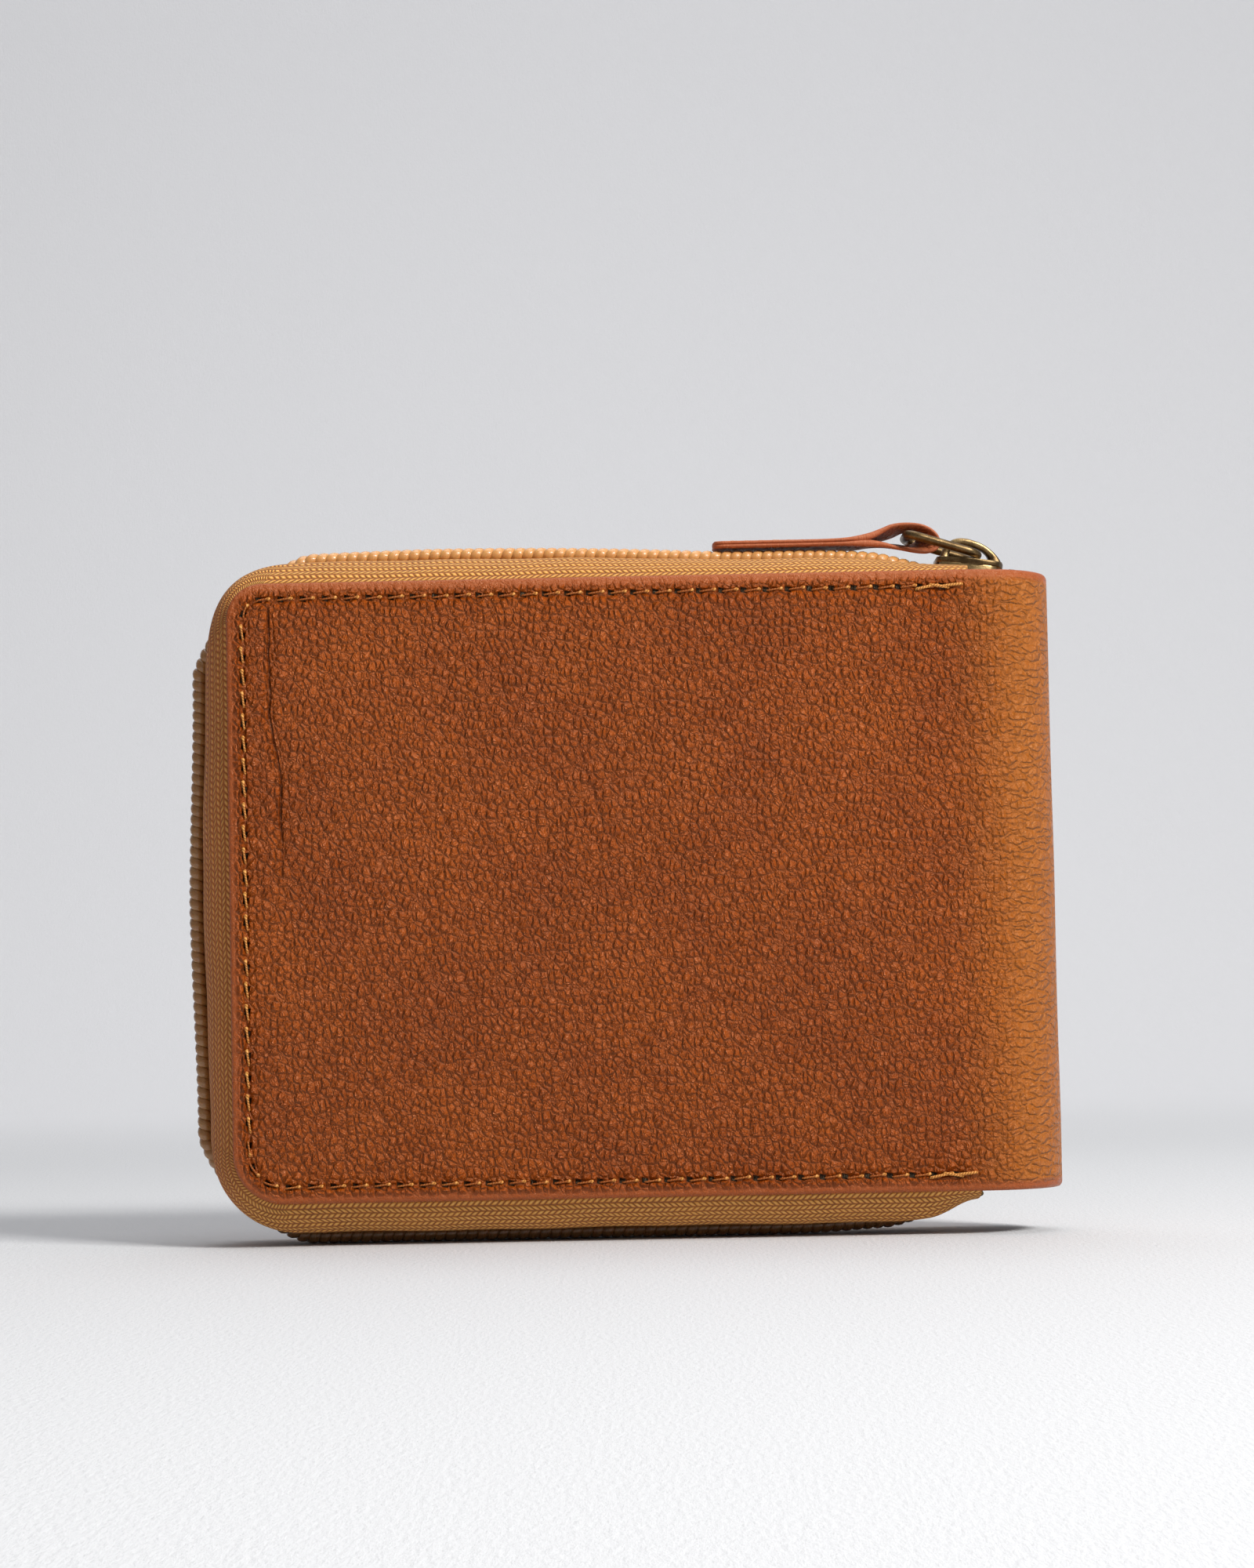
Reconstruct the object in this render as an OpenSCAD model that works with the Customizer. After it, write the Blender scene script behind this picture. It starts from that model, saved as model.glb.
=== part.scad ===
// Zip around wallet: a bifold leather shell closed by a coil zip on three sides.
// X runs along the zipped edges with the spine at +X, the front cover faces -Y and Z points up.
// Lengths are in millimetres. The closed wallet stands on the lower run of its zip at z = 0.

/* [Shell] */
// Height of the leather shell between its cut edges
shell_h = 85; // [80:1:90]
// Height of the shell's lower edge above the floor
shell_z = 6; // [5.5:0.5:8]
// Distance from the middle of the wallet to the left edge of the shell
shell_left = 54; // [52:1:56]
// Distance from the middle of the wallet to the outside of the spine
spine_reach = 60; // [59:1:61]
// Radius of the spine's outside, which is half the closed thickness
spine_r = 11.5; // [11.3:0.1:12]
// Thickness of the outer leather with its turned edge
hide_t = 1.2; // [1:0.1:1.4]
// Corner radius of the shell at the top
corner_top = 5; // [4.5:0.5:6]
// Corner radius of the shell at the bottom
corner_low = 7; // [6.5:0.5:8]

/* [Zip] */
// Radius of the long bow of the top run
bow_r = 640; // [600:10:700]
// Place along X of the highest point of the bow
bow_x = -25; // [-28:1:-22]
// Height of the bow's coil above the shell's top edge
bow_rise = 5.6; // [5:0.1:6]
// Distance from the middle of the wallet to the outside of the left run
chain_left = 60; // [59:0.5:61]
// Thickness of the closed coil, measured square to the tape
coil_t = 2.4; // [2.2:0.1:2.5]
// Half width of the closed coil
coil_half = 3; // [2.8:0.1:3.1]
// Thickness of the woven tape
tape_t = 0.6; // [0.5:0.1:0.6]
// Place of the slider along X when the zip is closed
slider_x = 49; // [46:1:49]

/* [Inside] */
// Thickness of the stiffener board
board_t = 0.6; // [0.4:0.1:0.6]
// Thickness of the lining
lining_t = 0.6; // [0.4:0.1:0.6]
// Thickness of the leather of one pocket
pocket_t = 0.6; // [0.5:0.1:0.65]
// Height of the step from one card pocket to the next
pocket_step = 12; // [10:1:14]

/* [Pull] */
// Wire diameter of the pull ring
ring_wire = 1.3; // [1.1:0.1:1.3]
// Length of the ring between the centres of its two end bars
ring_len = 10.2; // [10:0.1:11]
// Width of the ring between the centres of its two side bars
ring_w = 8.4; // [8.2:0.1:9]
// Rise of the resting ring above the horizontal
ring_angle = 17.4; // [16:0.2:18]
// Length of the leather tab from its free end to the ring
tab_len = 27.2; // [20:0.1:30]
// Width of the leather tab
tab_w = 6.6; // [6:0.2:7]

/* [Hidden] */
$fn = 64;

// Shell
shell_top = shell_z + shell_h;
shell_x = -shell_left;
spine_c = spine_reach - spine_r;   // centre line of the spine's half round
inner_r = spine_r - hide_t;        // inside of the outer leather
fold_angle = 45;                   // the two fold lines lie this far round the spine
fold_gap = 0.15;                   // angle left free on each side of a fold line
arc_steps = 12;
edge_gap = 0.05;                   // room for a layer that is glued between two others

// Edge seam
seam_inset = 2.3;
seam_end_x = 46;
groove_w = 0.7;
groove_d = 0.35;
stitch_pitch = 3;
stitch_len = 2.1;
stitch_w = 0.5;
stitch_t = 0.3;

// Layers, as distances from the wallet's middle plane
board_y = inner_r - board_t;
lining_y = board_y - lining_t;
tape_out_y = inner_r - edge_gap;
tape_in_y = tape_out_y - 0.5;

// Zip chain: the centre line of the coil, as a path in the XZ plane
coil_r = coil_t / 2;
chain_x = -chain_left + coil_r;
bow_top = shell_top + bow_rise - coil_r;
bow_z = bow_top - bow_r;
bend_top = 16;
bend_low = 14;
bend_top_c = [
    chain_x + bend_top,
    bow_z + sqrt(pow(bow_r - bend_top, 2) - pow(chain_x + bend_top - bow_x, 2))
];
bend_top_a = atan2(bend_top_c[1] - bow_z, bend_top_c[0] - bow_x);
bend_low_c = [chain_x + bend_low, coil_r + bend_low];
ramp_x = 36;
ramp_r = 30;
ramp_a = 24;
coil_start_x = 54.2;
tape_start_x = 48.2;
tape_end_x = 48.2;
steps = [26, 10, 14, 10, 18, 6];   // stations on the six stretches of the path

// Section of the tape
coil_slit = 0.65;                  // half the gap between the two coils
tape_edge_y = 0.9;
ledge_y = 4.5;                     // the tape is level with the coil's underside up to here
swell_y = 7.4;
swell = 0.7;
flange = 4;                        // depth of the tape inside the shell's edge
lining_inset = 1.2;                // the lining stops short of the tape that leaves the shell

// Slider, in its own frame: u along the zip, v across it, w away from it
slider_tilt = asin((slider_x - bow_x) / bow_r);
slider_z = bow_z + bow_r * cos(slider_tilt);
slider_half = 4.75;
plate_t = 0.85;
top_plate_w = coil_r + 0.2;
low_plate_w = -coil_r - tape_t - 0.3;
slot_w = -0.8;
channel_v = coil_half + 0.35;
flange_v = 4.2;
neck_v = 0.4;
crown_v = 1.1;
pivot_u = 0.9;
pivot_w = top_plate_w + plate_t + ring_wire / 2 + 0.05;
pivot_x = slider_x + pivot_u * cos(slider_tilt) + pivot_w * sin(slider_tilt);
pivot_z = slider_z - pivot_u * sin(slider_tilt) + pivot_w * cos(slider_tilt);

// Pull ring and tab
ring_bend = 1.7;
tab_x = pivot_x - ring_len * cos(ring_angle);
tab_z = pivot_z + ring_len * sin(ring_angle);
tab_layer = 0.55;
loop_in = ring_wire / 2 + 0.2;
loop_out = loop_in + tab_layer;
loop_w = 4.8;
tab_low = tab_z - loop_out;
tab_merge_x = tab_x - 7;

// Pockets
pocket_x0 = -48.5;
pocket_x1 = 44;
pocket_z0 = 9;
card_x0 = -47;
card_x1 = 42;
wall_t = 0.8;
wall_top = 82;
note_gap = 1;
wall_y = lining_y - note_gap - wall_t;
base_t = 0.7;
base_y = lining_y - base_t;
vinyl_t = 0.3;
vinyl_y = base_y - 2 * pocket_t - vinyl_t;
frame_y = vinyl_y - pocket_t;

hide_color = [0.58, 0.31, 0.16];
lining_color = [0.30, 0.19, 0.12];
pocket_color = [0.50, 0.27, 0.14];
board_color = [0.55, 0.50, 0.42];
tape_color = [0.78, 0.56, 0.30];
coil_color = [0.80, 0.62, 0.40];
thread_color = [0.80, 0.60, 0.34];
brass_color = [0.36, 0.30, 0.20];

// ---- helpers ----

// Mirrors a back half into the front half.
module front_side() {
    mirror([0, 1, 0]) children();
}

// A plate in the XZ plane between two distances from the middle plane, on the back side.
module slab(y0, y1) {
    translate([0, y1, 0]) rotate([90, 0, 0]) linear_extrude(y1 - y0) children();
}

// Outline with rounded corners at its left side only, as X and Z.
module cover_outline(inset, x1) {
    x0 = shell_x + inset;
    z0 = shell_z + inset;
    z1 = shell_top - inset;
    rt = corner_top - inset > 0.5 ? corner_top - inset : 0.5;
    rb = corner_low - inset > 1 ? corner_low - inset : 1;
    translate([x0 + rb, z0]) square([x1 - x0 - rb, z1 - z0]);
    translate([x0 + rt, z0 + rb]) square([rb - rt, z1 - z0 - rb]);
    translate([x0, z0 + rb]) square([rt, z1 - z0 - rb - rt]);
    translate([x0 + rb, z0 + rb]) circle(rb);
    translate([x0 + rt, z1 - rt]) circle(rt);
}

// Points round the spine's centre line, as X and Y.
function spine_points(r, a0, a1) = [
    for (i = [0 : arc_steps]) let (a = a0 + (a1 - a0) * i / arc_steps)
        [spine_c + r * cos(a), r * sin(a)]
];

// Part of a hollow post round the spine's centre line.
module spine_arc(r0, r1, z0, z1, a0, a1) {
    translate([0, 0, z0]) linear_extrude(z1 - z0)
        polygon(concat(spine_points(r1, a0, a1), spine_points(r0, a1, a0)));
}

// A layer of the back cover: flat from the left, then round the spine as far as the fold line.
module cover_layer(y0, y1, inset) {
    x0 = shell_x + inset;
    intersection() {
        translate([0, 0, shell_z + inset]) linear_extrude(shell_h - 2 * inset)
            polygon(concat(
                [[x0, y0], [x0, y1]],
                spine_points(y1, 90, fold_angle + fold_gap),
                spine_points(y0, fold_angle + fold_gap, 90)
            ));
        slab(0, spine_r + 1) cover_outline(inset, spine_reach + 1);
    }
}

// A rectangle in the XZ plane with four equally rounded corners.
module rounded_plate(x0, x1, z0, z1, r) {
    translate([x0 + r, z0]) square([x1 - x0 - 2 * r, z1 - z0]);
    translate([x0, z0 + r]) square([x1 - x0, z1 - z0 - 2 * r]);
    for (x = [x0 + r, x1 - r])
        for (z = [z0 + r, z1 - r])
            translate([x, z]) circle(r);
}

// A row of stitches from one end of a straight seam to the other.
module stitch_row(x0, z0, x1, z1, y, t) {
    len = norm([x1 - x0, z1 - z0]);
    n = floor(len / stitch_pitch);
    a = atan2(z1 - z0, x1 - x0);
    for (i = [0 : n - 1])
        translate([x0, y, z0]) rotate([0, -a, 0])
            translate([(i + 0.5) * len / n - stitch_len / 2, 0, -stitch_w / 2])
                cube([stitch_len, t, stitch_w]);
}

// Joins rings of points into one closed strip. Point j of a ring faces point m - 1 - j.
module strip(rings) {
    m = len(rings[0]);
    n = len(rings);
    last = (n - 1) * m;
    sides = [
        for (i = [0 : n - 2])
            for (j = [0 : m - 1])
                each [
                    [i * m + j, (i + 1) * m + j, i * m + (j + 1) % m],
                    [i * m + (j + 1) % m, (i + 1) * m + j, (i + 1) * m + (j + 1) % m]
                ]
    ];
    caps = [
        for (j = [0 : m / 2 - 2])
            each [
                [j, j + 1, m - 1 - j],
                [j + 1, m - 2 - j, m - 1 - j],
                [last + j + 1, last + j, last + m - 1 - j],
                [last + m - 2 - j, last + j + 1, last + m - 1 - j]
            ]
    ];
    polyhedron([for (r = rings) each r], concat(sides, caps));
}

// ---- path of the zip ----

function mix(a, b, t) = a + (b - a) * t;
function on_circle(c, r, a) = [c[0] + r * cos(a), c[1] + r * sin(a), cos(a), sin(a)];

// A station is [x, z, nx, nz], with the normal pointing out of the wallet.
function bow_station(x) = on_circle([bow_x, bow_z], bow_r, 90 - asin((x - bow_x) / bow_r));
function chain_stretch(k, t, x_start) =
    k == 0 ? bow_station(mix(x_start, bow_x + bow_r * cos(bend_top_a), t))
    : k == 1 ? on_circle(bend_top_c, bend_top, mix(bend_top_a, 180, t))
    : k == 2 ? [chain_x, mix(bend_top_c[1], bend_low_c[1], t), -1, 0]
    : k == 3 ? on_circle(bend_low_c, bend_low, mix(180, 270, t))
    : k == 4 ? [mix(bend_low_c[0], ramp_x, t), coil_r, 0, -1]
    : on_circle([ramp_x, coil_r + ramp_r], ramp_r, mix(270, 270 + ramp_a, t));

// The same stations on the shell's edge, moved inwards by an inset.
function edge_stretch(k, t, inset) =
    k == 0 ? [mix(tape_start_x, shell_x + corner_top, t), shell_top - inset]
    : k == 1 ? on_circle([shell_x + corner_top, shell_top - corner_top],
                         corner_top - inset, mix(90, 180, t))
    : k == 2 ? [shell_x + inset, mix(shell_top - corner_top, shell_z + corner_low, t)]
    : k == 3 ? on_circle([shell_x + corner_low, shell_z + corner_low],
                         corner_low - inset, mix(180, 270, t))
    : k == 4 ? [mix(shell_x + corner_low, ramp_x, t), shell_z + inset]
    : [mix(ramp_x, tape_end_x, t), shell_z + inset];

function place(s, y, w) = [s[0] + s[2] * w, y, s[1] + s[3] * w];

function coil_ring(s) = [
    place(s, coil_slit, coil_r - 0.5), place(s, coil_slit + 0.5, coil_r),
    place(s, coil_half - 0.5, coil_r), place(s, coil_half, coil_r - 0.5),
    place(s, coil_half, -coil_r), place(s, coil_half - 0.5, -coil_r),
    place(s, coil_slit + 0.5, -coil_r), place(s, coil_slit, -coil_r)
];

function between(p, q, t) = [mix(p[0], q[0], t), mix(p[2], q[2], t)];
function tape_ring(s, k, t) =
    let (
        deep = edge_stretch(k, t, flange),
        rim = edge_stretch(k, t, 0.2),
        rim_in = edge_stretch(k, t, 0.2 + tape_t),
        ledge = place(s, ledge_y, -coil_r),
        ledge_in = place(s, ledge_y, -coil_r - tape_t),
        share = (swell_y - ledge_y) / (tape_out_y - ledge_y),
        mid = between(ledge, [rim[0], 0, rim[1]], share),
        mid_in = between(ledge_in, [rim_in[0], 0, rim_in[1]], share)
    )
    [
        [deep[0], tape_out_y, deep[1]],
        [rim[0], tape_out_y, rim[1]],
        [mid[0] + s[2] * swell, swell_y, mid[1] + s[3] * swell],
        ledge,
        place(s, tape_edge_y, -coil_r),
        place(s, tape_edge_y, -coil_r - tape_t),
        ledge_in,
        [mid_in[0] + s[2] * swell, swell_y - 0.2, mid_in[1] + s[3] * swell],
        [rim_in[0], tape_in_y, rim_in[1]],
        [deep[0], tape_in_y, deep[1]]
    ];

module coil_half_chain() {
    strip([
        for (k = [0 : 5])
            for (i = [(k == 0 ? 0 : 1) : steps[k]])
                coil_ring(chain_stretch(k, i / steps[k], coil_start_x))
    ]);
}

module tape_half() {
    strip([
        for (k = [0 : 5])
            for (i = [(k == 0 ? 0 : 1) : steps[k]])
                tape_ring(chain_stretch(k, i / steps[k], tape_start_x), k, i / steps[k])
    ]);
}

module top_stop() {
    s = bow_station(coil_start_x);
    translate([s[0], coil_slit, s[1]]) rotate([0, asin(s[2]), 0])
        translate([0, 0, -coil_r]) cube([1.3, coil_half - coil_slit + 0.3, coil_t + 0.2]);
}

// ---- pieces of one cover ----

module cover_leather() {
    difference() {
        cover_layer(inner_r, spine_r, 0);
        slab(spine_r - groove_d, spine_r + 1) difference() {
            cover_outline(seam_inset - groove_w / 2, seam_end_x);
            cover_outline(seam_inset + groove_w / 2, seam_end_x + 1);
        }
    }
}

module cover_board() {
    slab(board_y, inner_r) cover_outline(flange + 1.2, 44);
}

module cover_lining() {
    cover_layer(lining_y, board_y, lining_inset);
}

module edge_stitches() {
    y = spine_r - groove_d;
    top_z = shell_top - seam_inset;
    low_z = shell_z + seam_inset;
    left_x = shell_x + seam_inset;
    stitch_row(seam_end_x, top_z, shell_x + corner_top, top_z, y, stitch_t);
    stitch_row(left_x, shell_top - corner_top, left_x, shell_z + corner_low, y, stitch_t);
    stitch_row(shell_x + corner_low, low_z, seam_end_x, low_z, y, stitch_t);
}

// Stitches down both sides of a pocket stack, standing on a face.
module pocket_stitches(face_y, z1) {
    for (x = [(pocket_x0 + card_x0) / 2, (pocket_x1 + card_x1) / 2])
        stitch_row(x, pocket_z0 + 1, x, z1 - 1, face_y - stitch_t, stitch_t);
}

module card_pocket(y0, top) {
    slab(y0, y0 + pocket_t) rounded_plate(card_x0, card_x1, pocket_z0, top, 1.5);
}

// ---- back cover ----

module back_leather() {
    color(hide_color) cover_leather();
}

module back_stiffener() {
    color(board_color) cover_board();
}

module back_lining() {
    color(lining_color) cover_lining();
}

// Pocket wall that stands off the lining on three sides, so that notes slide in from the top.
module banknote_pocket_wall() {
    rim = 1.4;
    color(pocket_color) {
        slab(wall_y, wall_y + wall_t) rounded_plate(pocket_x0, pocket_x1, pocket_z0, wall_top, 2);
        slab(wall_y + wall_t, lining_y) difference() {
            rounded_plate(pocket_x0, pocket_x1, pocket_z0, wall_top, 2);
            translate([pocket_x0 + rim, pocket_z0 + rim])
                square([pocket_x1 - pocket_x0 - 2 * rim, wall_top]);
        }
    }
}

module back_card_pocket(k) {
    color(pocket_color)
        card_pocket(wall_y - k * pocket_t, wall_top - k * pocket_step);
}

module back_pocket_stitching() {
    color(thread_color) pocket_stitches(wall_y, wall_top);
}

module back_edge_stitching() {
    color(thread_color) edge_stitches();
}

module zip_tape_back() {
    color(tape_color) tape_half();
}

module zip_coil_back() {
    color(coil_color) coil_half_chain();
}

module zip_top_stop_back() {
    color(brass_color) top_stop();
}

module zip_bottom_stop() {
    s = chain_stretch(5, 1, 0);
    color(brass_color) translate([s[0], coil_slit, s[1]]) rotate([0, -ramp_a, 0])
        translate([0, 0, -coil_r]) cube([1.5, coil_half - coil_slit + 0.3, coil_t]);
}

// ---- spine ----

module spine_leather() {
    edge = fold_angle - fold_gap;
    color(hide_color) spine_arc(inner_r, spine_r, shell_z, shell_top, -edge, edge);
}

module spine_lining() {
    edge = fold_angle - fold_gap;
    z0 = shell_z + lining_inset;
    z1 = shell_top - lining_inset;
    color(lining_color) spine_arc(lining_y, inner_r, z0, z1, -edge, edge);
}

// ---- front cover ----

module front_leather() {
    color(hide_color) front_side() cover_leather();
}

module front_stiffener() {
    color(board_color) front_side() cover_board();
}

module front_lining() {
    color(lining_color) front_side() cover_lining();
}

module front_pocket_base() {
    color(pocket_color) front_side()
        slab(base_y, lining_y) rounded_plate(pocket_x0, pocket_x1, pocket_z0, wall_top, 2);
}

module front_card_pocket(k) {
    color(pocket_color) front_side()
        card_pocket(base_y - k * pocket_t, wall_top - k * pocket_step * 0.6);
}

// Leather frame that holds the clear window over an identity card.
module id_frame() {
    top = 60;
    border = 7.5;
    color(pocket_color) front_side() slab(frame_y, vinyl_y) difference() {
        rounded_plate(card_x0, card_x1, pocket_z0, top, 1.5);
        rounded_plate(card_x0 + border, card_x1 - border, pocket_z0 + border, top - border, 2);
    }
}

module id_window() {
    margin = 3;
    color([0.85, 0.88, 0.9, 0.5]) front_side() slab(vinyl_y, vinyl_y + vinyl_t)
        rounded_plate(card_x0 + margin, card_x1 - margin, pocket_z0 + margin, 60 - margin, 1);
}

module front_pocket_stitching() {
    color(thread_color) front_side() pocket_stitches(base_y, wall_top);
}

module front_edge_stitching() {
    color(thread_color) front_side() edge_stitches();
}

module zip_tape_front() {
    color(tape_color) front_side() tape_half();
}

module zip_coil_front() {
    color(coil_color) front_side() coil_half_chain();
}

module zip_top_stop_front() {
    color(brass_color) front_side() top_stop();
}

// ---- slider and pull ----

module at_slider() {
    translate([slider_x, 0, slider_z]) rotate([0, slider_tilt, 0]) children();
}

// Outline of the slider from above: narrow tail, wide shoulders, rounded nose.
module slider_outline() {
    half = [
        [-slider_half, 3], [-slider_half + 0.7, 3.7], [-2.2, 3.9], [-0.2, flange_v],
        [2.6, flange_v], [3.8, 3.7], [slider_half - 0.3, 2.4], [slider_half, 1]
    ];
    other = [for (i = [len(half) - 1 : -1 : 0]) [half[i][0], -half[i][1]]];
    polygon(concat(half, other));
}

module slider_body() {
    color(brass_color) at_slider() {
        translate([0, 0, top_plate_w]) linear_extrude(plate_t) slider_outline();
        translate([0, 0, low_plate_w - plate_t]) linear_extrude(plate_t) slider_outline();
        // side walls that hang from the top plate and leave a slot for the tape
        for (s = [-1, 1])
            intersection() {
                translate([0, 0, slot_w]) linear_extrude(top_plate_w - slot_w) slider_outline();
                translate([-slider_half, s > 0 ? channel_v : -channel_v - 2, slot_w])
                    cube([2 * slider_half, 2, top_plate_w - slot_w]);
            }
        // neck that parts the two coils
        translate([1.5, -neck_v, low_plate_w]) cube([2.9, 2 * neck_v, top_plate_w - low_plate_w]);
    }
}

// Arched bail on the slider: high over the tail, sloping down to the nose.
module slider_crown() {
    foot = top_plate_w + plate_t;
    outer = [
        [-4.1, foot], [-3.8, 3.6], [-3.2, 4.6], [-2.4, 5.2], [-1.2, 5.4], [0.4, 5.2],
        [2.0, 4.7], [3.2, 3.9], [4.1, 3.1], [4.6, foot]
    ];
    inner = [
        [-2.9, foot - 0.01], [-2.7, 3.6], [-2.1, 4.1], [-1.2, 4.3], [0.4, 4.15],
        [1.8, 3.75], [2.4, 3.2], [2.8, foot - 0.01]
    ];
    color(brass_color) at_slider() translate([0, crown_v, 0]) rotate([90, 0, 0])
        linear_extrude(2 * crown_v) difference() {
            polygon(outer);
            polygon(inner);
        }
}

// Rounded rectangular ring of round wire, lying along its own u axis from the pivot bar.
module pull_ring() {
    r = ring_wire / 2;
    side = ring_w / 2;
    color(brass_color) translate([pivot_x, 0, pivot_z]) rotate([0, 180 + ring_angle, 0]) {
        for (u = [0, ring_len])
            translate([u, side - ring_bend, 0]) rotate([90, 0, 0])
                cylinder(h = ring_w - 2 * ring_bend, r = r);
        for (s = [-1, 1])
            translate([ring_bend, s * side, 0]) rotate([0, 90, 0])
                cylinder(h = ring_len - 2 * ring_bend, r = r);
        for (i = [0 : 3])
            translate([i % 2 == 0 ? ring_len - ring_bend : ring_bend,
                       (i < 2 ? 1 : -1) * (side - ring_bend), 0])
                rotate([0, 0, [0, 90, 270, 180][i]])
                    rotate_extrude(angle = 90) translate([ring_bend, 0]) circle(r);
    }
}

// Side view of the folded strap: two layers that part to pass round the ring's end bar.
module tab_profile() {
    end_x = tab_x - tab_len;
    layers_top = tab_low + 2 * tab_layer;
    difference() {
        union() {
            translate([tab_x, tab_z]) circle(loop_out);
            translate([end_x, tab_low]) square([tab_len, 2 * tab_layer]);
            polygon([
                [tab_merge_x, tab_low], [tab_x, tab_low], [tab_x, tab_z + loop_out],
                [tab_x - 2.5, tab_z + loop_out - 0.3], [tab_merge_x, layers_top]
            ]);
        }
        translate([tab_x, tab_z]) circle(loop_in);
        polygon([
            [tab_merge_x + 1.5, tab_low + tab_layer], [tab_x, tab_z - loop_in],
            [tab_x, tab_z + loop_in], [tab_x - 2.2, tab_z + loop_in - 0.3]
        ]);
    }
}

// The strap seen from above: a rounded free end, and a narrower loop at the ring.
module tab_plan() {
    r = 2;
    end_x = tab_x - tab_len;
    corner = [
        for (i = [0 : 6]) let (a = 180 - 15 * i)
            [end_x + r + r * cos(a), tab_w / 2 - r + r * sin(a)]
    ];
    half = concat(corner, [
        [tab_merge_x, tab_w / 2], [tab_x - 3, loop_w / 2], [tab_x + loop_out, loop_w / 2]
    ]);
    other = [for (i = [len(half) - 1 : -1 : 0]) [half[i][0], -half[i][1]]];
    polygon(concat(half, other));
}

module pull_tab() {
    color(hide_color) intersection() {
        translate([0, tab_w, 0]) rotate([90, 0, 0]) linear_extrude(2 * tab_w) tab_profile();
        translate([0, 0, tab_low - 1]) linear_extrude(2 * loop_out + 2) tab_plan();
    }
}

module pull_tab_stitching() {
    z = tab_low + 2 * tab_layer;
    n = 6;
    first_x = tab_x - tab_len + 1.8;
    pitch = (tab_merge_x - 1 - first_x) / n;
    color(thread_color)
        for (s = [-1, 1])
            for (i = [0 : n - 1])
                translate([first_x + i * pitch, s * (tab_w / 2 - 1) - stitch_w / 2, z])
                    cube([pitch * 0.7, stitch_w, stitch_t / 2]);
}

back_leather();
back_stiffener();
back_lining();
banknote_pocket_wall();
back_card_pocket(1);  // back_card_pocket_1
back_card_pocket(2);  // back_card_pocket_2
back_card_pocket(3);  // back_card_pocket_3
back_pocket_stitching();
back_edge_stitching();
zip_tape_back();
zip_coil_back();
zip_top_stop_back();
zip_bottom_stop();
spine_leather();
spine_lining();
front_leather();
front_stiffener();
front_lining();
front_pocket_base();
front_card_pocket(1);  // front_card_pocket_1
front_card_pocket(2);  // front_card_pocket_2
id_window();
id_frame();
front_pocket_stitching();
front_edge_stitching();
zip_tape_front();
zip_coil_front();
zip_top_stop_front();
slider_body();
slider_crown();
pull_ring();
pull_tab();
pull_tab_stitching();
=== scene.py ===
import math

import bmesh
import bpy
import numpy as np
from mathutils import Matrix, Vector
from mathutils.kdtree import KDTree


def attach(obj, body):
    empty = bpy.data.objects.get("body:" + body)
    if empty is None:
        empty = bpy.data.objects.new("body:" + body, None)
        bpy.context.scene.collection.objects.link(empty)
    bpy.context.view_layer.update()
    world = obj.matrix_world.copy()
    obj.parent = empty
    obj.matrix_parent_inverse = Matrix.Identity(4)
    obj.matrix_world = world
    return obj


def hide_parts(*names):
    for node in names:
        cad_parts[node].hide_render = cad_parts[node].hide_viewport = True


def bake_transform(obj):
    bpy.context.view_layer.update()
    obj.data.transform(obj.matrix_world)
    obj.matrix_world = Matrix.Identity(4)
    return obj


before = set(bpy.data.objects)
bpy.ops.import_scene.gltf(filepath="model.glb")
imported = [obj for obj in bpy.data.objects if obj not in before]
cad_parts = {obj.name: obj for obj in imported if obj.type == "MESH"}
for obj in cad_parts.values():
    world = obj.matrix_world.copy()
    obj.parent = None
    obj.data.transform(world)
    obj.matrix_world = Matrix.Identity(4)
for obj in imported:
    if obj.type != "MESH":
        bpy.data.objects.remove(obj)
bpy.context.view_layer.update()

# Zip around wallet standing on its zipped edge. Lengths are in millimetres, and MM turns them
# into metres where meshes, lights and the camera are made.
MM = 0.001
rng = np.random.default_rng(7)

# Sizes that follow the CAD model
SHELL_LEFT, SHELL_LOW, SHELL_TOP = -54.0, 6.0, 91.0
SPINE_C, SPINE_R, HIDE = 48.5, 11.5, 1.2
CORNER_TOP, CORNER_LOW = 5.0, 7.0
SPINE_END = SPINE_C + SPINE_R * math.pi / 2
SEAM_INSET, SEAM_END, STITCH = 2.3, 46.0, 3.0
# Centre x, centre z and radius of the zip's long bow along the top
BOW = (-25.0, -544.6, 640.0)
COIL_R, TAPE_T = 1.2, 0.6
FRONT, BACK = -1, 1
HALVES = ((FRONT, "front"), (BACK, "back"))
# Stands for "no edge or seam nearby" in the edge attribute
FAR = 50.0


# ---- meshes ----

def make_object(name, points, faces, material, **attributes):
    """A smooth mesh from points in millimetres, with its point attributes."""
    mesh = bpy.data.meshes.new(name)
    mesh.from_pydata((np.asarray(points, float) * MM).tolist(), [], [list(f) for f in faces])
    mesh.polygons.foreach_set("use_smooth", [True] * len(mesh.polygons))
    for key, values in attributes.items():
        layer = mesh.attributes.new(key, "FLOAT_VECTOR", "POINT")
        layer.data.foreach_set("vector", np.asarray(values, np.float32).ravel())
    mesh.materials.append(material)
    mesh.update()
    obj = bpy.data.objects.new(name, mesh)
    bpy.context.scene.collection.objects.link(obj)
    return obj


def place_on(obj, body, slot, *nodes):
    """The piece moves with a CAD body and stands for CAD nodes, which it hides; slot is not used."""
    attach(obj, body)
    if nodes:
        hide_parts(*nodes)
    return obj


def number_grid(n, m, closed=False):
    """A table of point numbers. A closed one repeats its first column at its end."""
    ids = np.arange(n * m).reshape(n, m)
    return np.concatenate([ids, ids[:, :1]], 1) if closed else ids


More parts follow.
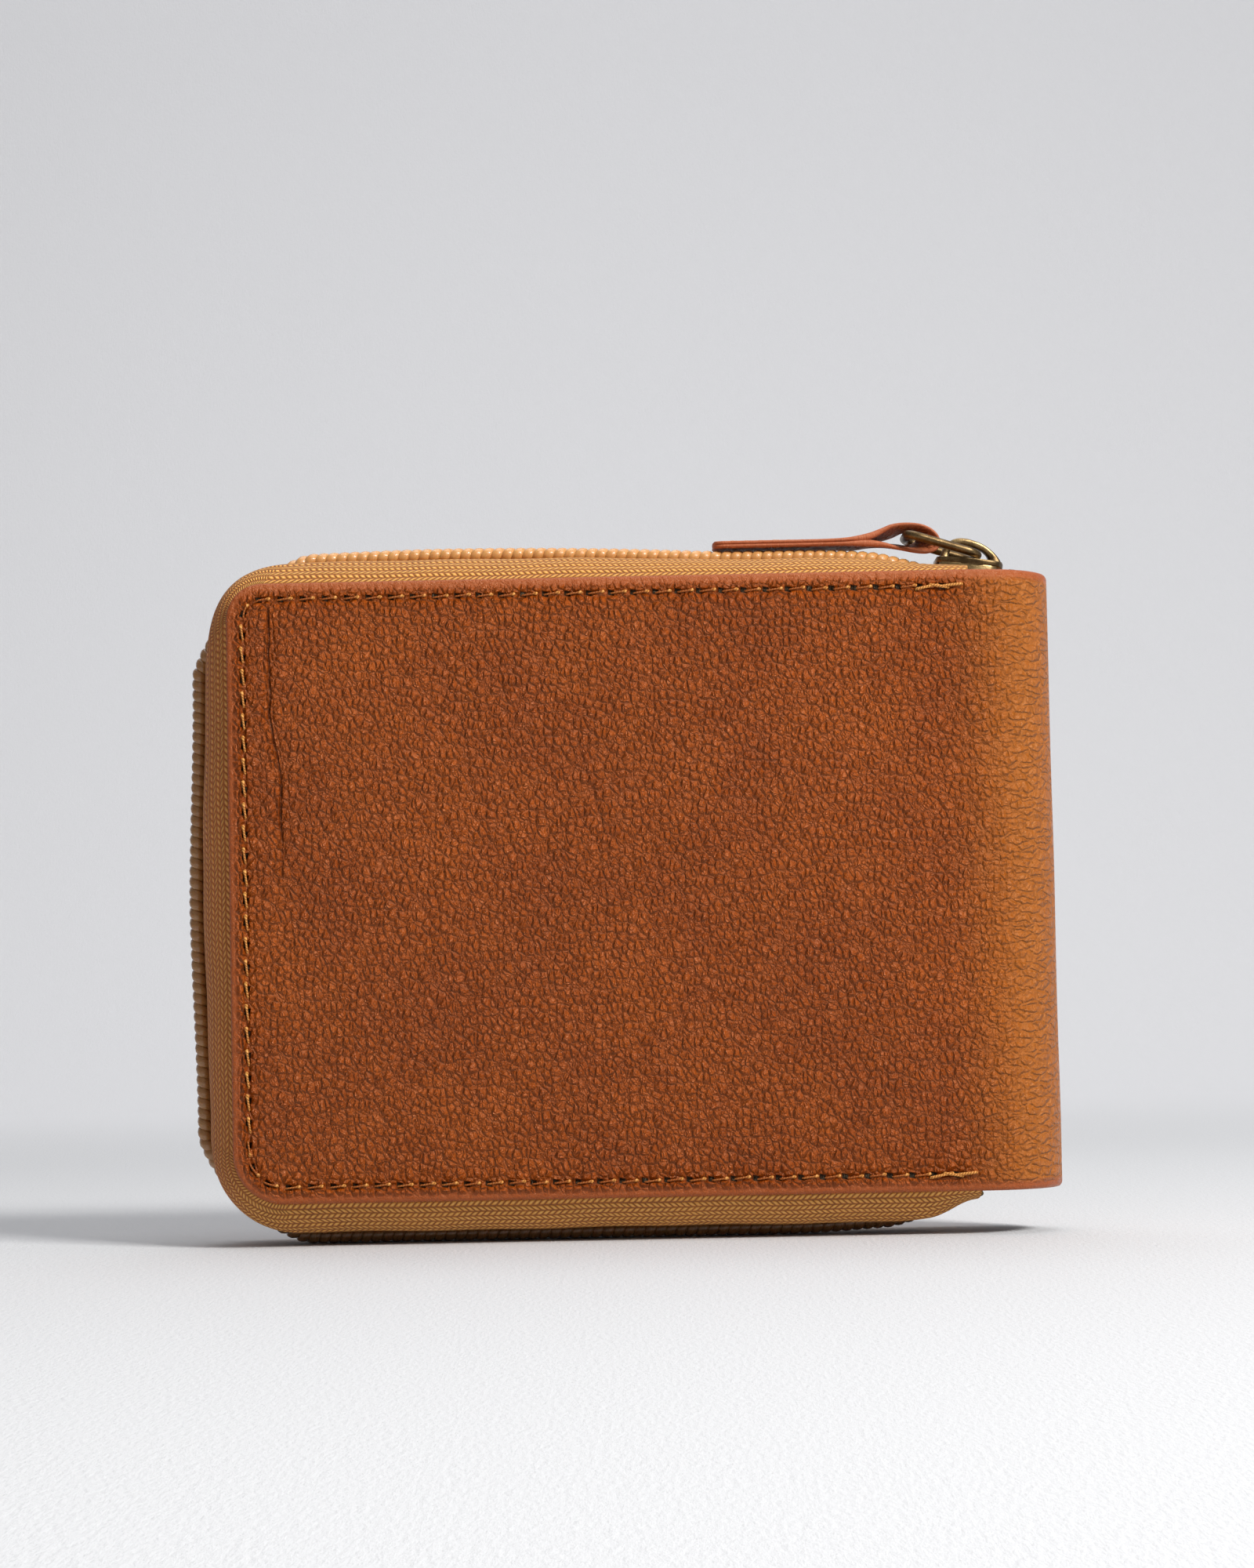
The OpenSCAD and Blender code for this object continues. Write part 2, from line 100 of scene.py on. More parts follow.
def grid_faces(ids, flip=False):
    """Quads over a table of point numbers."""
    quads = np.stack([ids[:-1, :-1], ids[1:, :-1], ids[1:, 1:], ids[:-1, 1:]], -1).reshape(-1, 4)
    return (quads[:, ::-1] if flip else quads).tolist()


def border_of(ids):
    """The point numbers round a table, once each."""
    return np.concatenate([ids[:-1, 0], ids[-1, :-1], ids[:0:-1, -1], ids[0, :0:-1]])


def crisp_end(obj):
    """Keeps the shading smooth up to the middle of the spine, where two halves meet."""
    mesh = obj.data
    flat = np.zeros(len(mesh.vertices) * 3, np.float32)
    mesh.attributes["flat"].data.foreach_get("vector", flat)
    at_end = np.abs(flat[::3] - SPINE_END) < 1e-3
    ends = np.zeros(len(mesh.edges) * 2, int)
    mesh.edges.foreach_get("vertices", ends)
    a, b = ends.reshape(-1, 2).T
    mesh.edges.foreach_set("use_edge_sharp", (at_end[a] & at_end[b]).tolist())


def mesh_facing(obj):
    """Turns every face outwards on a closed mesh."""
    work = bmesh.new()
    work.from_mesh(obj.data)
    bmesh.ops.recalc_face_normals(work, faces=work.faces)
    work.to_mesh(obj.data)
    work.free()
    return obj


def join_parts(parts):
    """Joins several (points, faces, flat, edge) parts into one."""
    points, faces, flats, edges, base = [], [], [], [], 0
    for part_points, part_faces, part_flat, part_edge in parts:
        points.append(part_points)
        faces.extend([[i + base for i in f] for f in part_faces])
        flats.append(part_flat)
        edges.append(part_edge)
        base += len(part_points)
    return np.concatenate(points), faces, np.concatenate(flats), np.concatenate(edges)


def build(name, parts, material):
    """One object from several parts."""
    points, faces, flat, edge = join_parts(parts)
    return make_object(name, points, faces, material, flat=flat, edge=edge)


def piece(name, parts, material, body, slot, *nodes):
    """One object from several closed parts, facing outwards, on its CAD body."""
    return place_on(mesh_facing(build(name, parts, material)), body, slot, *nodes)


def unit(v):
    return v / np.maximum(np.linalg.norm(v, axis=-1, keepdims=True), 1e-9)


def lengths_along(path):
    """Distance of each point of a line from its first point, measured along the line."""
    return np.concatenate([[0], np.cumsum(np.linalg.norm(np.diff(path, axis=0), axis=1))])


def outwards(line):
    """Unit normals on a line's right hand side, which is outside on the zip's way round."""
    tangent = unit(np.gradient(line, axis=0))
    return np.stack([tangent[:, 1], -tangent[:, 0]], 1)


def smoothstep(a, b, x):
    t = np.clip((np.asarray(x, float) - a) / (b - a), 0, 1)
    return t * t * (3 - 2 * t)


def tube(path, radius, up, sides=8, closed=False, flatten=1.0):
    """A round wire along a path. up steers the section; flatten thins it along up."""
    path = np.asarray(path, float)
    n = len(path)
    if closed:
        ahead, behind = np.roll(path, -1, 0), np.roll(path, 1, 0)
        tangent = unit(ahead - behind)
    else:
        tangent = unit(np.gradient(path, axis=0))
    up = np.broadcast_to(np.asarray(up, float), path.shape)
    first = unit(up - (up * tangent).sum(1, keepdims=True) * tangent)
    second = np.cross(tangent, first)
    radius = np.broadcast_to(np.asarray(radius, float), (n,))
    turn = np.arange(sides) / sides * 2 * math.pi
    ring = (
        first[:, None] * (np.cos(turn) * flatten)[None, :, None]
        + second[:, None] * np.sin(turn)[None, :, None]
    )
    points = path[:, None] + ring * radius[:, None, None]
    ids = number_grid(n, sides, True)
    if closed:
        ids = np.concatenate([ids, ids[:1]], 0)
    faces = grid_faces(ids)
    if not closed:
        faces.append(ids[0, :sides].tolist())
        faces.append(ids[-1, :sides][::-1].tolist())
    flat = np.zeros((n, sides, 3))
    flat[..., 0] = lengths_along(path)[:, None]
    flat[..., 1] = turn[None, :]
    return points.reshape(-1, 3), faces, flat.reshape(-1, 3), np.zeros((n * sides, 3))


def thicken(grid, thick, flat, edge=None):
    """A closed thin body round a table of points, half the thickness to each side."""
    grid = np.asarray(grid, float)
    du = np.gradient(grid, axis=0)
    dv = np.gradient(grid, axis=1)
    normal = unit(np.cross(du, dv))
    n, m = grid.shape[:2]
    half = np.broadcast_to(np.asarray(thick, float) / 2, (n, m))[..., None]
    ids = number_grid(n, m)
    faces = grid_faces(ids) + grid_faces(ids + n * m, True)
    rim = border_of(ids)
    follow = np.roll(rim, -1)
    faces += [[a, b, b + n * m, a + n * m] for a, b in zip(rim.tolist(), follow.tolist())]
    points = np.concatenate([(grid + normal * half).reshape(-1, 3), (grid - normal * half).reshape(-1, 3)])
    flat = flat.reshape(-1, 3)
    edge = np.full((n * m, 3), FAR) if edge is None else edge.reshape(-1, 3)
    return points, faces, np.concatenate([flat, flat]), np.concatenate([edge, edge])


def spline(points, count):
    """Smooth curve through points, sampled evenly by point number."""
    p = np.asarray(points, float)
    p = np.concatenate([2 * p[:1] - p[1:2], p, 2 * p[-1:] - p[-2:-1]])
    t = np.linspace(0, len(points) - 1 - 1e-9, count)
    k = np.floor(t).astype(int)
    t = (t - k).reshape((-1,) + (1,) * (p.ndim - 1))
    a, b, c, d = p[k], p[k + 1], p[k + 2], p[k + 3]
    return 0.5 * (
        2 * b + (c - a) * t + (2 * a - 5 * b + 4 * c - d) * t**2 + (3 * b - a - 3 * c + d) * t**3
    )


def even(path, count):
    """The same line with points at even distances."""
    path = np.asarray(path, float)
    s = lengths_along(path)
    t = np.linspace(0, s[-1], count)
    return np.stack([np.interp(t, s, path[:, i]) for i in range(path.shape[1])], 1)


def line_points(a, b, t):
    return np.array(a, float) + (np.array(b, float) - np.array(a, float)) * t[:, None]


def arc_points(centre, radius, a0, a1, t):
    a = np.radians(a0 + (a1 - a0) * t)
    return np.stack([centre[0] + radius * np.cos(a), centre[1] + radius * np.sin(a)], 1)


def rounded_loop(x0, x1, z0, z1, r, per_corner=14, per_side=30):
    """Closed outline of a rectangle with round corners, with the same count for any size."""
    points = []
    centres = ((x1 - r, z1 - r), (x0 + r, z1 - r), (x0 + r, z0 + r), (x1 - r, z0 + r))
    for k, centre in enumerate(centres):
        corner = arc_points(centre, r, 90 * k, 90 * k + 90, np.linspace(0, 1, per_corner))
        if points:
            points.append(line_points(points[-1][-1], corner[0], np.linspace(0, 1, per_side)[1:-1]))
        points.append(corner)
    points.append(line_points(points[-1][-1], points[0][0], np.linspace(0, 1, per_side)[1:-1]))
    return np.concatenate(points)


# ---- panels: flat or bent plates with soft edges ----

def edge_distance(u, v, sides, radii):
    """Distance from the outline of a rectangle with its own radius at each corner."""
    u0, u1, v0, v1 = sides
    right = u > (u0 + u1) / 2
    top = v > (v0 + v1) / 2
    radius = np.where(top, np.where(right, radii[1], radii[0]), np.where(right, radii[3], radii[2]))
    du = np.where(right, u1 - u, u - u0)
    dv = np.where(top, v1 - v, v - v0)
    a, b = radius - du, radius - dv
    corner = radius - np.hypot(np.maximum(a, 0), np.maximum(b, 0))
    return np.where((a > 0) & (b > 0), corner, np.minimum(du, dv))


def panel(sides, radii, place, thick, rim=0.5, step=0.6, relief=None, joined=False, u_lines=None):
    """A plate with half-round edges. radii: top left, top right, low left, low right.
    place(u, v, h) gives its points. A joined panel has no edge on its right side."""
    u0, u1, v0, v1 = sides
    low_u, high_u = u0 + rim, (u1 if joined else u1 - rim)
    low_v, high_v = v0 + rim, v1 - rim
    if u_lines is None:
        u_lines = np.linspace(low_u, high_u, max(4, int((high_u - low_u) / step)))
    v_lines = np.linspace(low_v, high_v, max(4, int((high_v - low_v) / step)))
    u, v = np.meshgrid(u_lines, v_lines, indexing="ij")
    out_u = np.where(u <= low_u + 1e-6, -1.0, 0.0)
    out_u = np.where((u >= high_u - 1e-6) & (not joined), 1.0, out_u)
    out_v = np.where(v <= low_v + 1e-6, -1.0, np.where(v >= high_v - 1e-6, 1.0, 0.0))
    for index, (su, sv) in enumerate([(-1, 1), (1, 1), (-1, -1), (1, -1)]):
        r = radii[index] - rim
        if r <= 0 or (joined and su > 0):
            continue
        cu = (high_u if su > 0 else low_u) - su * r
        cv = (high_v if sv > 0 else low_v) - sv * r
        a, b = (u - cu) * su / r, (v - cv) * sv / r
        inside = (a > 0) & (b > 0)
        na = a * np.sqrt(np.clip(1 - b * b / 2, 0, 1))
        nb = b * np.sqrt(np.clip(1 - a * a / 2, 0, 1))
        u = np.where(inside, cu + su * r * na, u)
        v = np.where(inside, cv + sv * r * nb, v)
        on_arc = inside & ((a > 1 - 1e-6) | (b > 1 - 1e-6))
        out_u = np.where(on_arc, su * na, out_u)
        out_v = np.where(on_arc, sv * nb, out_v)
    extent = (u0, u1 + (100 if joined else 0), v0, v1)
    depth = edge_distance(u, v, extent, radii)
    lift = np.zeros_like(u) if relief is None else relief(u, v, depth)
    n, m = u.shape
    ids = number_grid(n, m)
    if joined:
        loop = np.concatenate([ids[::-1, -1], ids[0, -2::-1], ids[1:, 0]])
    else:
        loop = border_of(ids)
        loop = np.append(loop, loop[0])
    fu, fv = u.ravel(), v.ravel()
    nu, nv = out_u.ravel(), out_v.ravel()
    size = np.maximum(np.hypot(nu, nv), 1e-9)
    nu, nv = nu / size, nv / size
    rings_u, rings_v, rings_h, rings_d = [], [], [], []
    turns = np.linspace(0, math.pi, 9)[1:-1]
    for a in turns:
        rings_u.append(fu[loop] + nu[loop] * rim * math.sin(a))
        rings_v.append(fv[loop] + nv[loop] * rim * math.sin(a))
        share = (1 + math.cos(a)) / 2
        rings_h.append(thick / 2 * math.cos(a) + lift.ravel()[loop] * share)
        rings_d.append(rim * (1 - math.sin(a)) * np.ones(len(loop)) * (1 if a < math.pi / 2 else 0))
    count = n * m
    all_u = np.concatenate([fu, fu] + rings_u)
    all_v = np.concatenate([fv, fv] + rings_v)
    all_h = np.concatenate([lift.ravel() + thick / 2, np.full(count, -thick / 2)] + rings_h)
    all_d = np.concatenate([depth.ravel(), depth.ravel()] + rings_d)
    outer, inner = ids, ids + count
    faces = grid_faces(outer) + grid_faces(inner, True)
    ring_ids = [loop]
    for k in range(len(turns)):
        ring_ids.append(2 * count + k * len(loop) + np.arange(len(loop)))
    ring_ids.append(loop + count)
    if not joined:
        ring_ids = [np.append(r[:-1], r[0]) for r in ring_ids]
    ring_ids = np.array(ring_ids)
    faces += grid_faces(ring_ids)
    if joined:
        faces += grid_faces(np.stack([ids[-1], ids[-1] + count], 1))
        faces.append(ring_ids[:, 0].tolist())
        faces.append(ring_ids[:, -1].tolist())
    points = place(all_u, all_v, all_h)
    flat = np.stack([all_u, all_v, all_h], 1)
    edge = np.stack([all_d, np.full(len(all_u), FAR), np.zeros(len(all_u))], 1)
    return points, faces, flat, edge


def wall_place(side, y):
    """Places a flat panel at a distance from the middle plane, facing away from the cover."""
    def place(u, v, h):
        return np.stack([u, side * (y - h), v], 1)
    return place


def cover_place(side, radius):
    """Places a layer that is flat over the cover and then follows the spine."""
    def place(u, v, h):
        r = radius + h
        a = math.pi / 2 - np.maximum(u - SPINE_C, 0) / SPINE_R
        x = np.where(u > SPINE_C, SPINE_C + r * np.cos(a), u)
        y = np.where(u > SPINE_C, r * np.sin(a), r)
        return np.stack([x, side * y, v], 1)
    return place


# ---- materials ----

class Shader:
    """A material and short ways to add its nodes."""

    def __init__(self, name):
        self.material = bpy.data.materials.new(name)
        self.material.use_nodes = True
        self.tree = self.material.node_tree
        self.tree.nodes.clear()

    def put(self, socket, value):
        if isinstance(value, bpy.types.NodeSocket):
            self.tree.links.new(value, socket)
        else:
            socket.default_value = value

    def node(self, kind, inputs, out=0, **settings):
        node = self.tree.nodes.new("ShaderNode" + kind)
        for key, value in settings.items():
            setattr(node, key, value)
        for key, value in inputs.items():
            self.put(node.inputs[key], value)
        return node.outputs[out]

    def attribute(self, name):
        return self.node("Attribute", {}, 1, attribute_name=name)

    def split(self, vector):
        node = self.tree.nodes.new("ShaderNodeSeparateXYZ")
        self.put(node.inputs[0], vector)
        return node.outputs[0], node.outputs[1], node.outputs[2]

    def math(self, operation, a, b=0.0):
        return self.node("Math", {0: a, 1: b}, operation=operation)

    def size(self, value):
        return self.math("ABSOLUTE", value)

    def less(self, a, b):
        return self.math("SUBTRACT", a, b)

    def add(self, a, b):
        return self.math("ADD", a, b)

    def times(self, a, b):
        return self.math("MULTIPLY", a, b)

    def scaled(self, vector, scale):
        return self.node("VectorMath", {0: vector, 1: scale}, operation="MULTIPLY")

    def plus(self, vector, other):
        return self.node("VectorMath", {0: vector, 1: other}, operation="ADD")

    def fade(self, value, low, high, start=0.0, end=1.0):
        keys = {"Value": value, "From Min": low, "From Max": high, "To Min": start, "To Max": end}
        return self.node("MapRange", keys, interpolation_type="SMOOTHSTEP")

    def noise(self, vector, scale, detail=3.0, rough=0.5, out=0):
        keys = {"Vector": vector, "Scale": scale, "Detail": detail, "Roughness": rough}
        return self.node("TexNoise", keys, out)

    def cells(self, vector, scale, feature="F1", out=0, randomness=1.0):
        keys = {"Vector": vector, "Scale": scale, "Randomness": randomness}
        return self.node("TexVoronoi", keys, out, feature=feature)

    def mix(self, share, a, b):
        return self.node("Mix", {0: share, 6: a, 7: b}, 2, data_type="RGBA")

    def bump(self, height, distance):
        return self.node("Bump", {"Height": height, "Distance": distance * MM})

    def finish(self, colour, rough, normal=None, tint=(1.0, 1.0, 1.0, 1.0), **constants):
        shader = self.tree.nodes.new("ShaderNodeBsdfPrincipled")
        shader.inputs["Specular Tint"].default_value = tint
        self.put(shader.inputs["Base Color"], colour)
        self.put(shader.inputs["Roughness"], rough)
        if normal is not None:
            self.put(shader.inputs["Normal"], normal)
        for key, value in constants.items():
            shader.inputs[key.replace("_", " ")].default_value = value
        out = self.tree.nodes.new("ShaderNodeOutputMaterial")
        self.tree.links.new(shader.outputs[0], out.inputs[0])
        return self.material


def rgb(r, g, b):
    """Linear colour from display values 0 to 255."""
    linear = [((c / 255 + 0.055) / 1.055) ** 2.4 if c > 10 else c / 3294.6 for c in (r, g, b)]
    return (*linear, 1.0)


def pebbles(s, moved, cell):
    """Height of the grain: domes parted by cracks, with crumbs of half their size on them."""
    tall = s.scaled(moved, (1.0, 0.82, 1.0))
    border = s.cells(tall, 1 / cell, "DISTANCE_TO_EDGE", randomness=0.82)
    centre = s.cells(tall, 1 / cell, "F1", randomness=0.82)
    small = s.cells(tall, 2.1 / cell, "DISTANCE_TO_EDGE")
    dome = s.add(s.times(s.fade(border, -0.1, 0.3), 0.55), s.times(s.fade(centre, 0.8, 0.0), 0.45))
    crumb = s.fade(small, -0.1, 0.3)
    return s.add(s.times(dome, 0.86), s.times(crumb, 0.18))


def stretch_over_spine(s, moved, pebble, near):
    """Near the spine the pebbles flatten and fine wrinkles take their place."""
    strain = s.scaled(moved, (0.35, 1.0, 1.0))
    wrinkle = s.fade(s.cells(strain, 0.95, "DISTANCE_TO_EDGE"), 0.0, 0.22)
    flattened = s.times(pebble, s.less(1.0, s.times(near, 0.78)))
    return s.add(flattened, s.times(wrinkle, s.times(near, 0.26)))


def needle_holes(s, seam, along):
    """Slanted slots, one between each two stitches of the seam."""
    hole_at = s.less(s.math("FRACT", s.times(along, 1 / STITCH)), 0.5)
    hole_y = s.size(s.add(seam, s.times(hole_at, 0.7)))
    return s.times(s.fade(s.size(hole_at), 0.16, 0.11), s.fade(hole_y, 0.44, 0.29))


def crease_shade_line(s, flat, u, v):
    """Painted shade: the dark line in the crease inside the cover's left edge."""
    bend = s.add(s.fade(v, 74.0, 62.0, 0.0, 1.4), s.times(s.noise(flat, 0.35, 2.0), 0.8))
    off = s.size(s.less(u, s.add(bend, -48.5)))
    return s.times(s.fade(off, 0.26, 0.04), s.times(s.fade(v, 44.0, 62.0), s.fade(v, 88.5, 86.0)))


def leather_material(name, deep, body, light, rim, grain=1.0, cell=1.0, spine=True, rough=0.22):
    """Pebbled leather with painted edges and needle holes along its seam."""
    s = Shader(name)
    flat = s.attribute("flat")
    edge, seam, along = s.split(s.attribute("edge"))
    u, v, _ = s.split(flat)
    warp = s.noise(flat, 0.55, 2.0, 0.5, out=1)
    moved = s.plus(flat, s.scaled(warp, (0.9, 1.1, 0.0)))
    pebble = pebbles(s, moved, cell)
    fine = s.noise(flat, 5.0, 4.0, 0.6)
    if spine:
        near = s.fade(s.size(s.less(u, SPINE_END)), 24.0, 9.0)
        pebble = stretch_over_spine(s, moved, pebble, near)
    broad = s.noise(flat, 0.045, 3.0, 0.55)
    blotch = s.noise(flat, 0.35, 3.0, 0.6)
    tint = s.add(s.times(broad, 0.75), s.times(blotch, 0.35))
    colour = s.mix(s.fade(tint, 0.4, 0.72), body, light)
    # Painted shade: the cracks between the pebbles are darkened towards the deep colour.
    colour = s.mix(s.times(s.fade(pebble, 0.46, 0.12), 0.3), colour, deep)
    # Painted light: near the spine the colour turns a light gold, where the spine faces the lamp.
    if spine:
        colour = s.mix(s.times(near, 0.85), colour, rgb(176, 98, 20))
    edge_line = s.add(edge, s.times(s.noise(flat, 0.6, 2.0), 0.3))
    painted = s.fade(edge_line, 1.9, 0.85)
    colour = s.mix(painted, colour, s.mix(s.noise(flat, 1.6, 3.0), rim, body))
    hole = needle_holes(s, seam, along)
    groove = s.fade(s.size(seam), 0.5, 0.05)
    # Painted shade along the seam's groove.
    colour = s.mix(s.times(groove, 0.3), colour, deep)
    if spine:
        # Painted shade in the crease; part of it is also darkened and dented like a needle hole.
        crease = crease_shade_line(s, flat, u, v)
        colour = s.mix(s.times(crease, 0.7), colour, deep)
        hole = s.math("MAXIMUM", hole, s.times(crease, 0.3))
    colour = s.mix(s.fade(hole, 0.3, 0.9), colour, rgb(16, 8, 4))
    plain = s.less(1.0, s.math("MAXIMUM", s.times(painted, 0.92), s.times(groove, 0.5)))
    height = s.add(s.times(pebble, s.times(plain, grain)), s.times(fine, 0.12))
    height = s.less(height, s.times(hole, 2.5))
    shine = s.add(rough, s.times(s.noise(flat, 0.9, 3.0), 0.14))
    shine = s.add(shine, s.times(s.fade(pebble, 0.5, 0.1), 0.2))
    shine = s.less(shine, s.times(painted, 0.04))
    return s.finish(colour, shine, s.bump(height, 1.3), (1.0, 0.76, 0.5, 1.0), Specular_IOR_Level=0.72)


def tape_material():
    """Woven zip tape: rows of slanted threads that lean the other way in every second row."""
    s = Shader("zip_tape")
    flat = s.attribute("flat")
    u, v, _ = s.split(s.plus(flat, s.scaled(s.noise(flat, 0.8, 2.0, 0.5, out=1), (0.16, 0.1, 0.0))))
    row_at = s.times(v, 1 / 0.74)
    row = s.math("FLOOR", row_at)
    across = s.less(s.math("FRACT", row_at), 0.5)
    lean = s.less(s.times(s.math("PINGPONG", row, 1.0), 2.0), 1.0)
    place = s.add(s.times(u, 1 / 0.8), s.times(s.times(lean, across), 0.9))
    place = s.add(place, s.times(row, 0.37))
    dash = s.size(s.less(s.math("FRACT", place), 0.5))
    thread = s.times(s.fade(dash, 0.5, 0.08), s.fade(s.size(across), 0.52, 0.12))
    fibre = s.noise(s.scaled(flat, (2.0, 9.0, 1.0)), 1.5, 3.0, 0.6)
    # Painted shade in the gaps between the threads, and a painted highlight (lit) on the thread tops.
    dark, mid, lit = rgb(118, 57, 12), rgb(223, 147, 54), rgb(255, 214, 124)
    colour = s.mix(s.fade(thread, 0.02, 0.42), dark, mid)
    colour = s.mix(s.times(s.fade(thread, 0.45, 0.95), fibre), colour, lit)
    colour = s.mix(s.times(s.noise(flat, 0.25, 3.0), 0.35), colour, mid)
    # Painted shade: the tape's left run turns a deeper brown, where it lies in shade.
    painted_left_shade, _, _ = s.split(s.attribute("edge"))
    colour = s.mix(s.times(painted_left_shade, 0.5), colour, rgb(172, 80, 12))
    height = s.add(thread, s.times(fibre, 0.12))
    return s.finish(colour, 0.62, s.bump(height, 0.2), Sheen_Weight=0.04, Sheen_Roughness=0.5)


def coil_material():
    """Glossy nylon of the zip's coil, painted dark as shade along its low run and its left side."""
    s = Shader("zip_coil")
    flat = s.attribute("flat")
    tone = s.noise(flat, 0.7, 3.0, 0.55)
    _, _, low = s.split(s.attribute("edge"))
    colour = s.mix(tone, rgb(188, 122, 60), rgb(230, 176, 108))
    # Painted shade: the low run and the left side turn dark brown.
    colour = s.mix(s.times(low, 0.8), colour, rgb(74, 44, 20))
    rough = s.add(0.2, s.times(s.noise(flat, 2.0, 2.0), 0.16))
    height = s.noise(s.scaled(flat, (1.0, 3.0, 1.0)), 2.0, 3.0, 0.6)
    return s.finish(
        colour, rough, s.bump(height, 0.02), Coat_Weight=0.35, Coat_Roughness=0.12,
        Subsurface_Weight=0.12, Subsurface_Scale=0.0006,
    )


def thread_material(name, dark, light):
    """Twisted sewing thread: strands wind round each stitch."""
    s = Shader(name)
    u, turn, _ = s.split(s.attribute("flat"))
    winding = s.add(s.times(u, 8.5), turn)
    strand = s.size(s.math("SINE", winding))
    fuzz = s.noise(s.attribute("flat"), 6.0, 3.0)
    rise_and_painted_light, _, _ = s.split(s.attribute("edge"))
    # The strands' twist is real; the dark valleys between them are painted shade.
    colour = s.mix(s.times(strand, s.add(0.55, s.times(fuzz, 0.6))), dark, light)
    # Painted shade: where a stitch lies low it takes the dark thread colour, and its raised parts keep the
    # lit strand colour.
    colour = s.mix(rise_and_painted_light, dark, colour)
    return s.finish(colour, 0.52, s.bump(strand, 0.06), (1.0, 0.85, 0.65, 1.0))


def brass_material():
    """Antique brass: dark patina with bright rubbed edges."""
    s = Shader("antique_brass")
    flat = s.attribute("flat")
    worn, _, _ = s.split(s.attribute("edge"))
    patches = s.noise(flat, 0.9, 4.0, 0.6)
    fine = s.noise(flat, 7.0, 3.0, 0.6)
    rubbed = s.fade(s.add(worn, s.times(s.add(patches, fine), 0.35)), 0.42, 0.95)
    colour = s.mix(patches, rgb(62, 47, 30), rgb(104, 81, 52))
    colour = s.mix(rubbed, colour, rgb(196, 166, 116))
    rough = s.add(0.27, s.times(fine, 0.22))
    rough = s.less(rough, s.times(rubbed, 0.08))
    return s.finish(colour, rough, s.bump(s.add(fine, patches), 0.025), Metallic=0.95)


def cloth_material():
    """Fine twill of the lining."""
    s = Shader("lining_twill")
    flat = s.attribute("flat")
    u, v, _ = s.split(flat)
    rib = s.size(s.math("SINE", s.times(s.add(u, v), 4.4)))
    cross = s.size(s.math("SINE", s.times(s.less(u, v), 7.5)))
    weave = s.add(s.times(rib, 0.75), s.times(cross, 0.25))
    colour = s.mix(weave, rgb(46, 26, 14), rgb(104, 64, 36))
    colour = s.mix(s.times(s.noise(flat, 0.2, 3.0), 0.3), colour, rgb(84, 54, 34))
    return s.finish(colour, 0.78, s.bump(weave, 0.08), Sheen_Weight=0.04, Sheen_Roughness=0.6)


def board_material():
    """Grey-brown fibre board, with its fibres in object space."""
    s = Shader("fibre_board")
    where = s.node("TexCoord", {}, 3)
    fibre = s.noise(s.scaled(where, (300.0, 300.0, 1400.0)), 1.0, 5.0, 0.65)
    speck = s.noise(where, 2600.0, 3.0, 0.5)
    colour = s.mix(fibre, rgb(132, 116, 92), rgb(182, 166, 138))
    colour = s.mix(s.fade(speck, 0.62, 0.72), colour, rgb(96, 80, 60))
    return s.finish(colour, 0.86, s.bump(s.add(fibre, speck), 0.05))


def vinyl_material():
    """Clear soft plastic with faint ripples and scuffs."""
    s = Shader("clear_vinyl")
    flat = s.attribute("flat")
    ripple = s.noise(flat, 0.08, 2.0, 0.4)
    scuff = s.noise(s.scaled(flat, (0.6, 3.0, 1.0)), 1.2, 5.0, 0.7)
    rough = s.add(0.06, s.times(s.fade(scuff, 0.5, 0.8), 0.22))
    colour = s.mix(scuff, rgb(240, 243, 244), rgb(252, 253, 254))
    return s.finish(
        colour, rough, s.bump(s.add(ripple, s.times(scuff, 0.05)), 0.3), Transmission_Weight=0.94, IOR=1.45,
    )


hide = leather_material(
    "tan_leather", rgb(76, 25, 5), rgb(157, 68, 10), rgb(175, 81, 15), rgb(168, 84, 40),
)
tab_hide = leather_material(
    "tab_leather", rgb(96, 42, 20), rgb(166, 84, 46), rgb(186, 102, 60), rgb(186, 104, 72),
    grain=0.5, cell=0.8, spine=False, rough=0.4,
)
pocket_hide = leather_material(
    "pocket_leather", rgb(84, 38, 16), rgb(146, 78, 40), rgb(162, 92, 50), rgb(120, 62, 34),
    grain=0.45, cell=0.8, spine=False, rough=0.5,
)
tape_cloth = tape_material()
coil_nylon = coil_material()
seam_thread = thread_material("seam_thread", rgb(156, 80, 26), rgb(244, 178, 90))
pocket_thread = thread_material("pocket_thread", rgb(104, 60, 26), rgb(206, 150, 86))
brass = brass_material()
cloth = cloth_material()
board = board_material()
vinyl = vinyl_material()


# ---- outer leather ----

def seam_line():
    """The seam as (u, v) points every tenth of a millimetre, from the top right to the low right."""
    top, low = SHELL_TOP - SEAM_INSET, SHELL_LOW + SEAM_INSET
    rt, rl = CORNER_TOP - SEAM_INSET, CORNER_LOW - SEAM_INSET
    cu_top, cu_low = SHELL_LEFT + CORNER_TOP, SHELL_LEFT + CORNER_LOW
    cv_top, cv_low = SHELL_TOP - CORNER_TOP, SHELL_LOW + CORNER_LOW
    a = np.radians(np.linspace(90, 180, 40))
    b = np.radians(np.linspace(180, 270, 60))
    corner_top = np.stack([cu_top + rt * np.cos(a), cv_top + rt * np.sin(a)], 1)
    corner_low = np.stack([cu_low + rl * np.cos(b), cv_low + rl * np.sin(b)], 1)
    line = np.concatenate([[[SEAM_END, top]], corner_top, corner_low, [[SEAM_END, low]]])
    length = np.linalg.norm(np.diff(line, axis=0), axis=1).sum()
    return even(line, int(length * 10)), length


SEAM, SEAM_LENGTH = seam_line()
SEAM_COUNT = int(SEAM_LENGTH / STITCH)


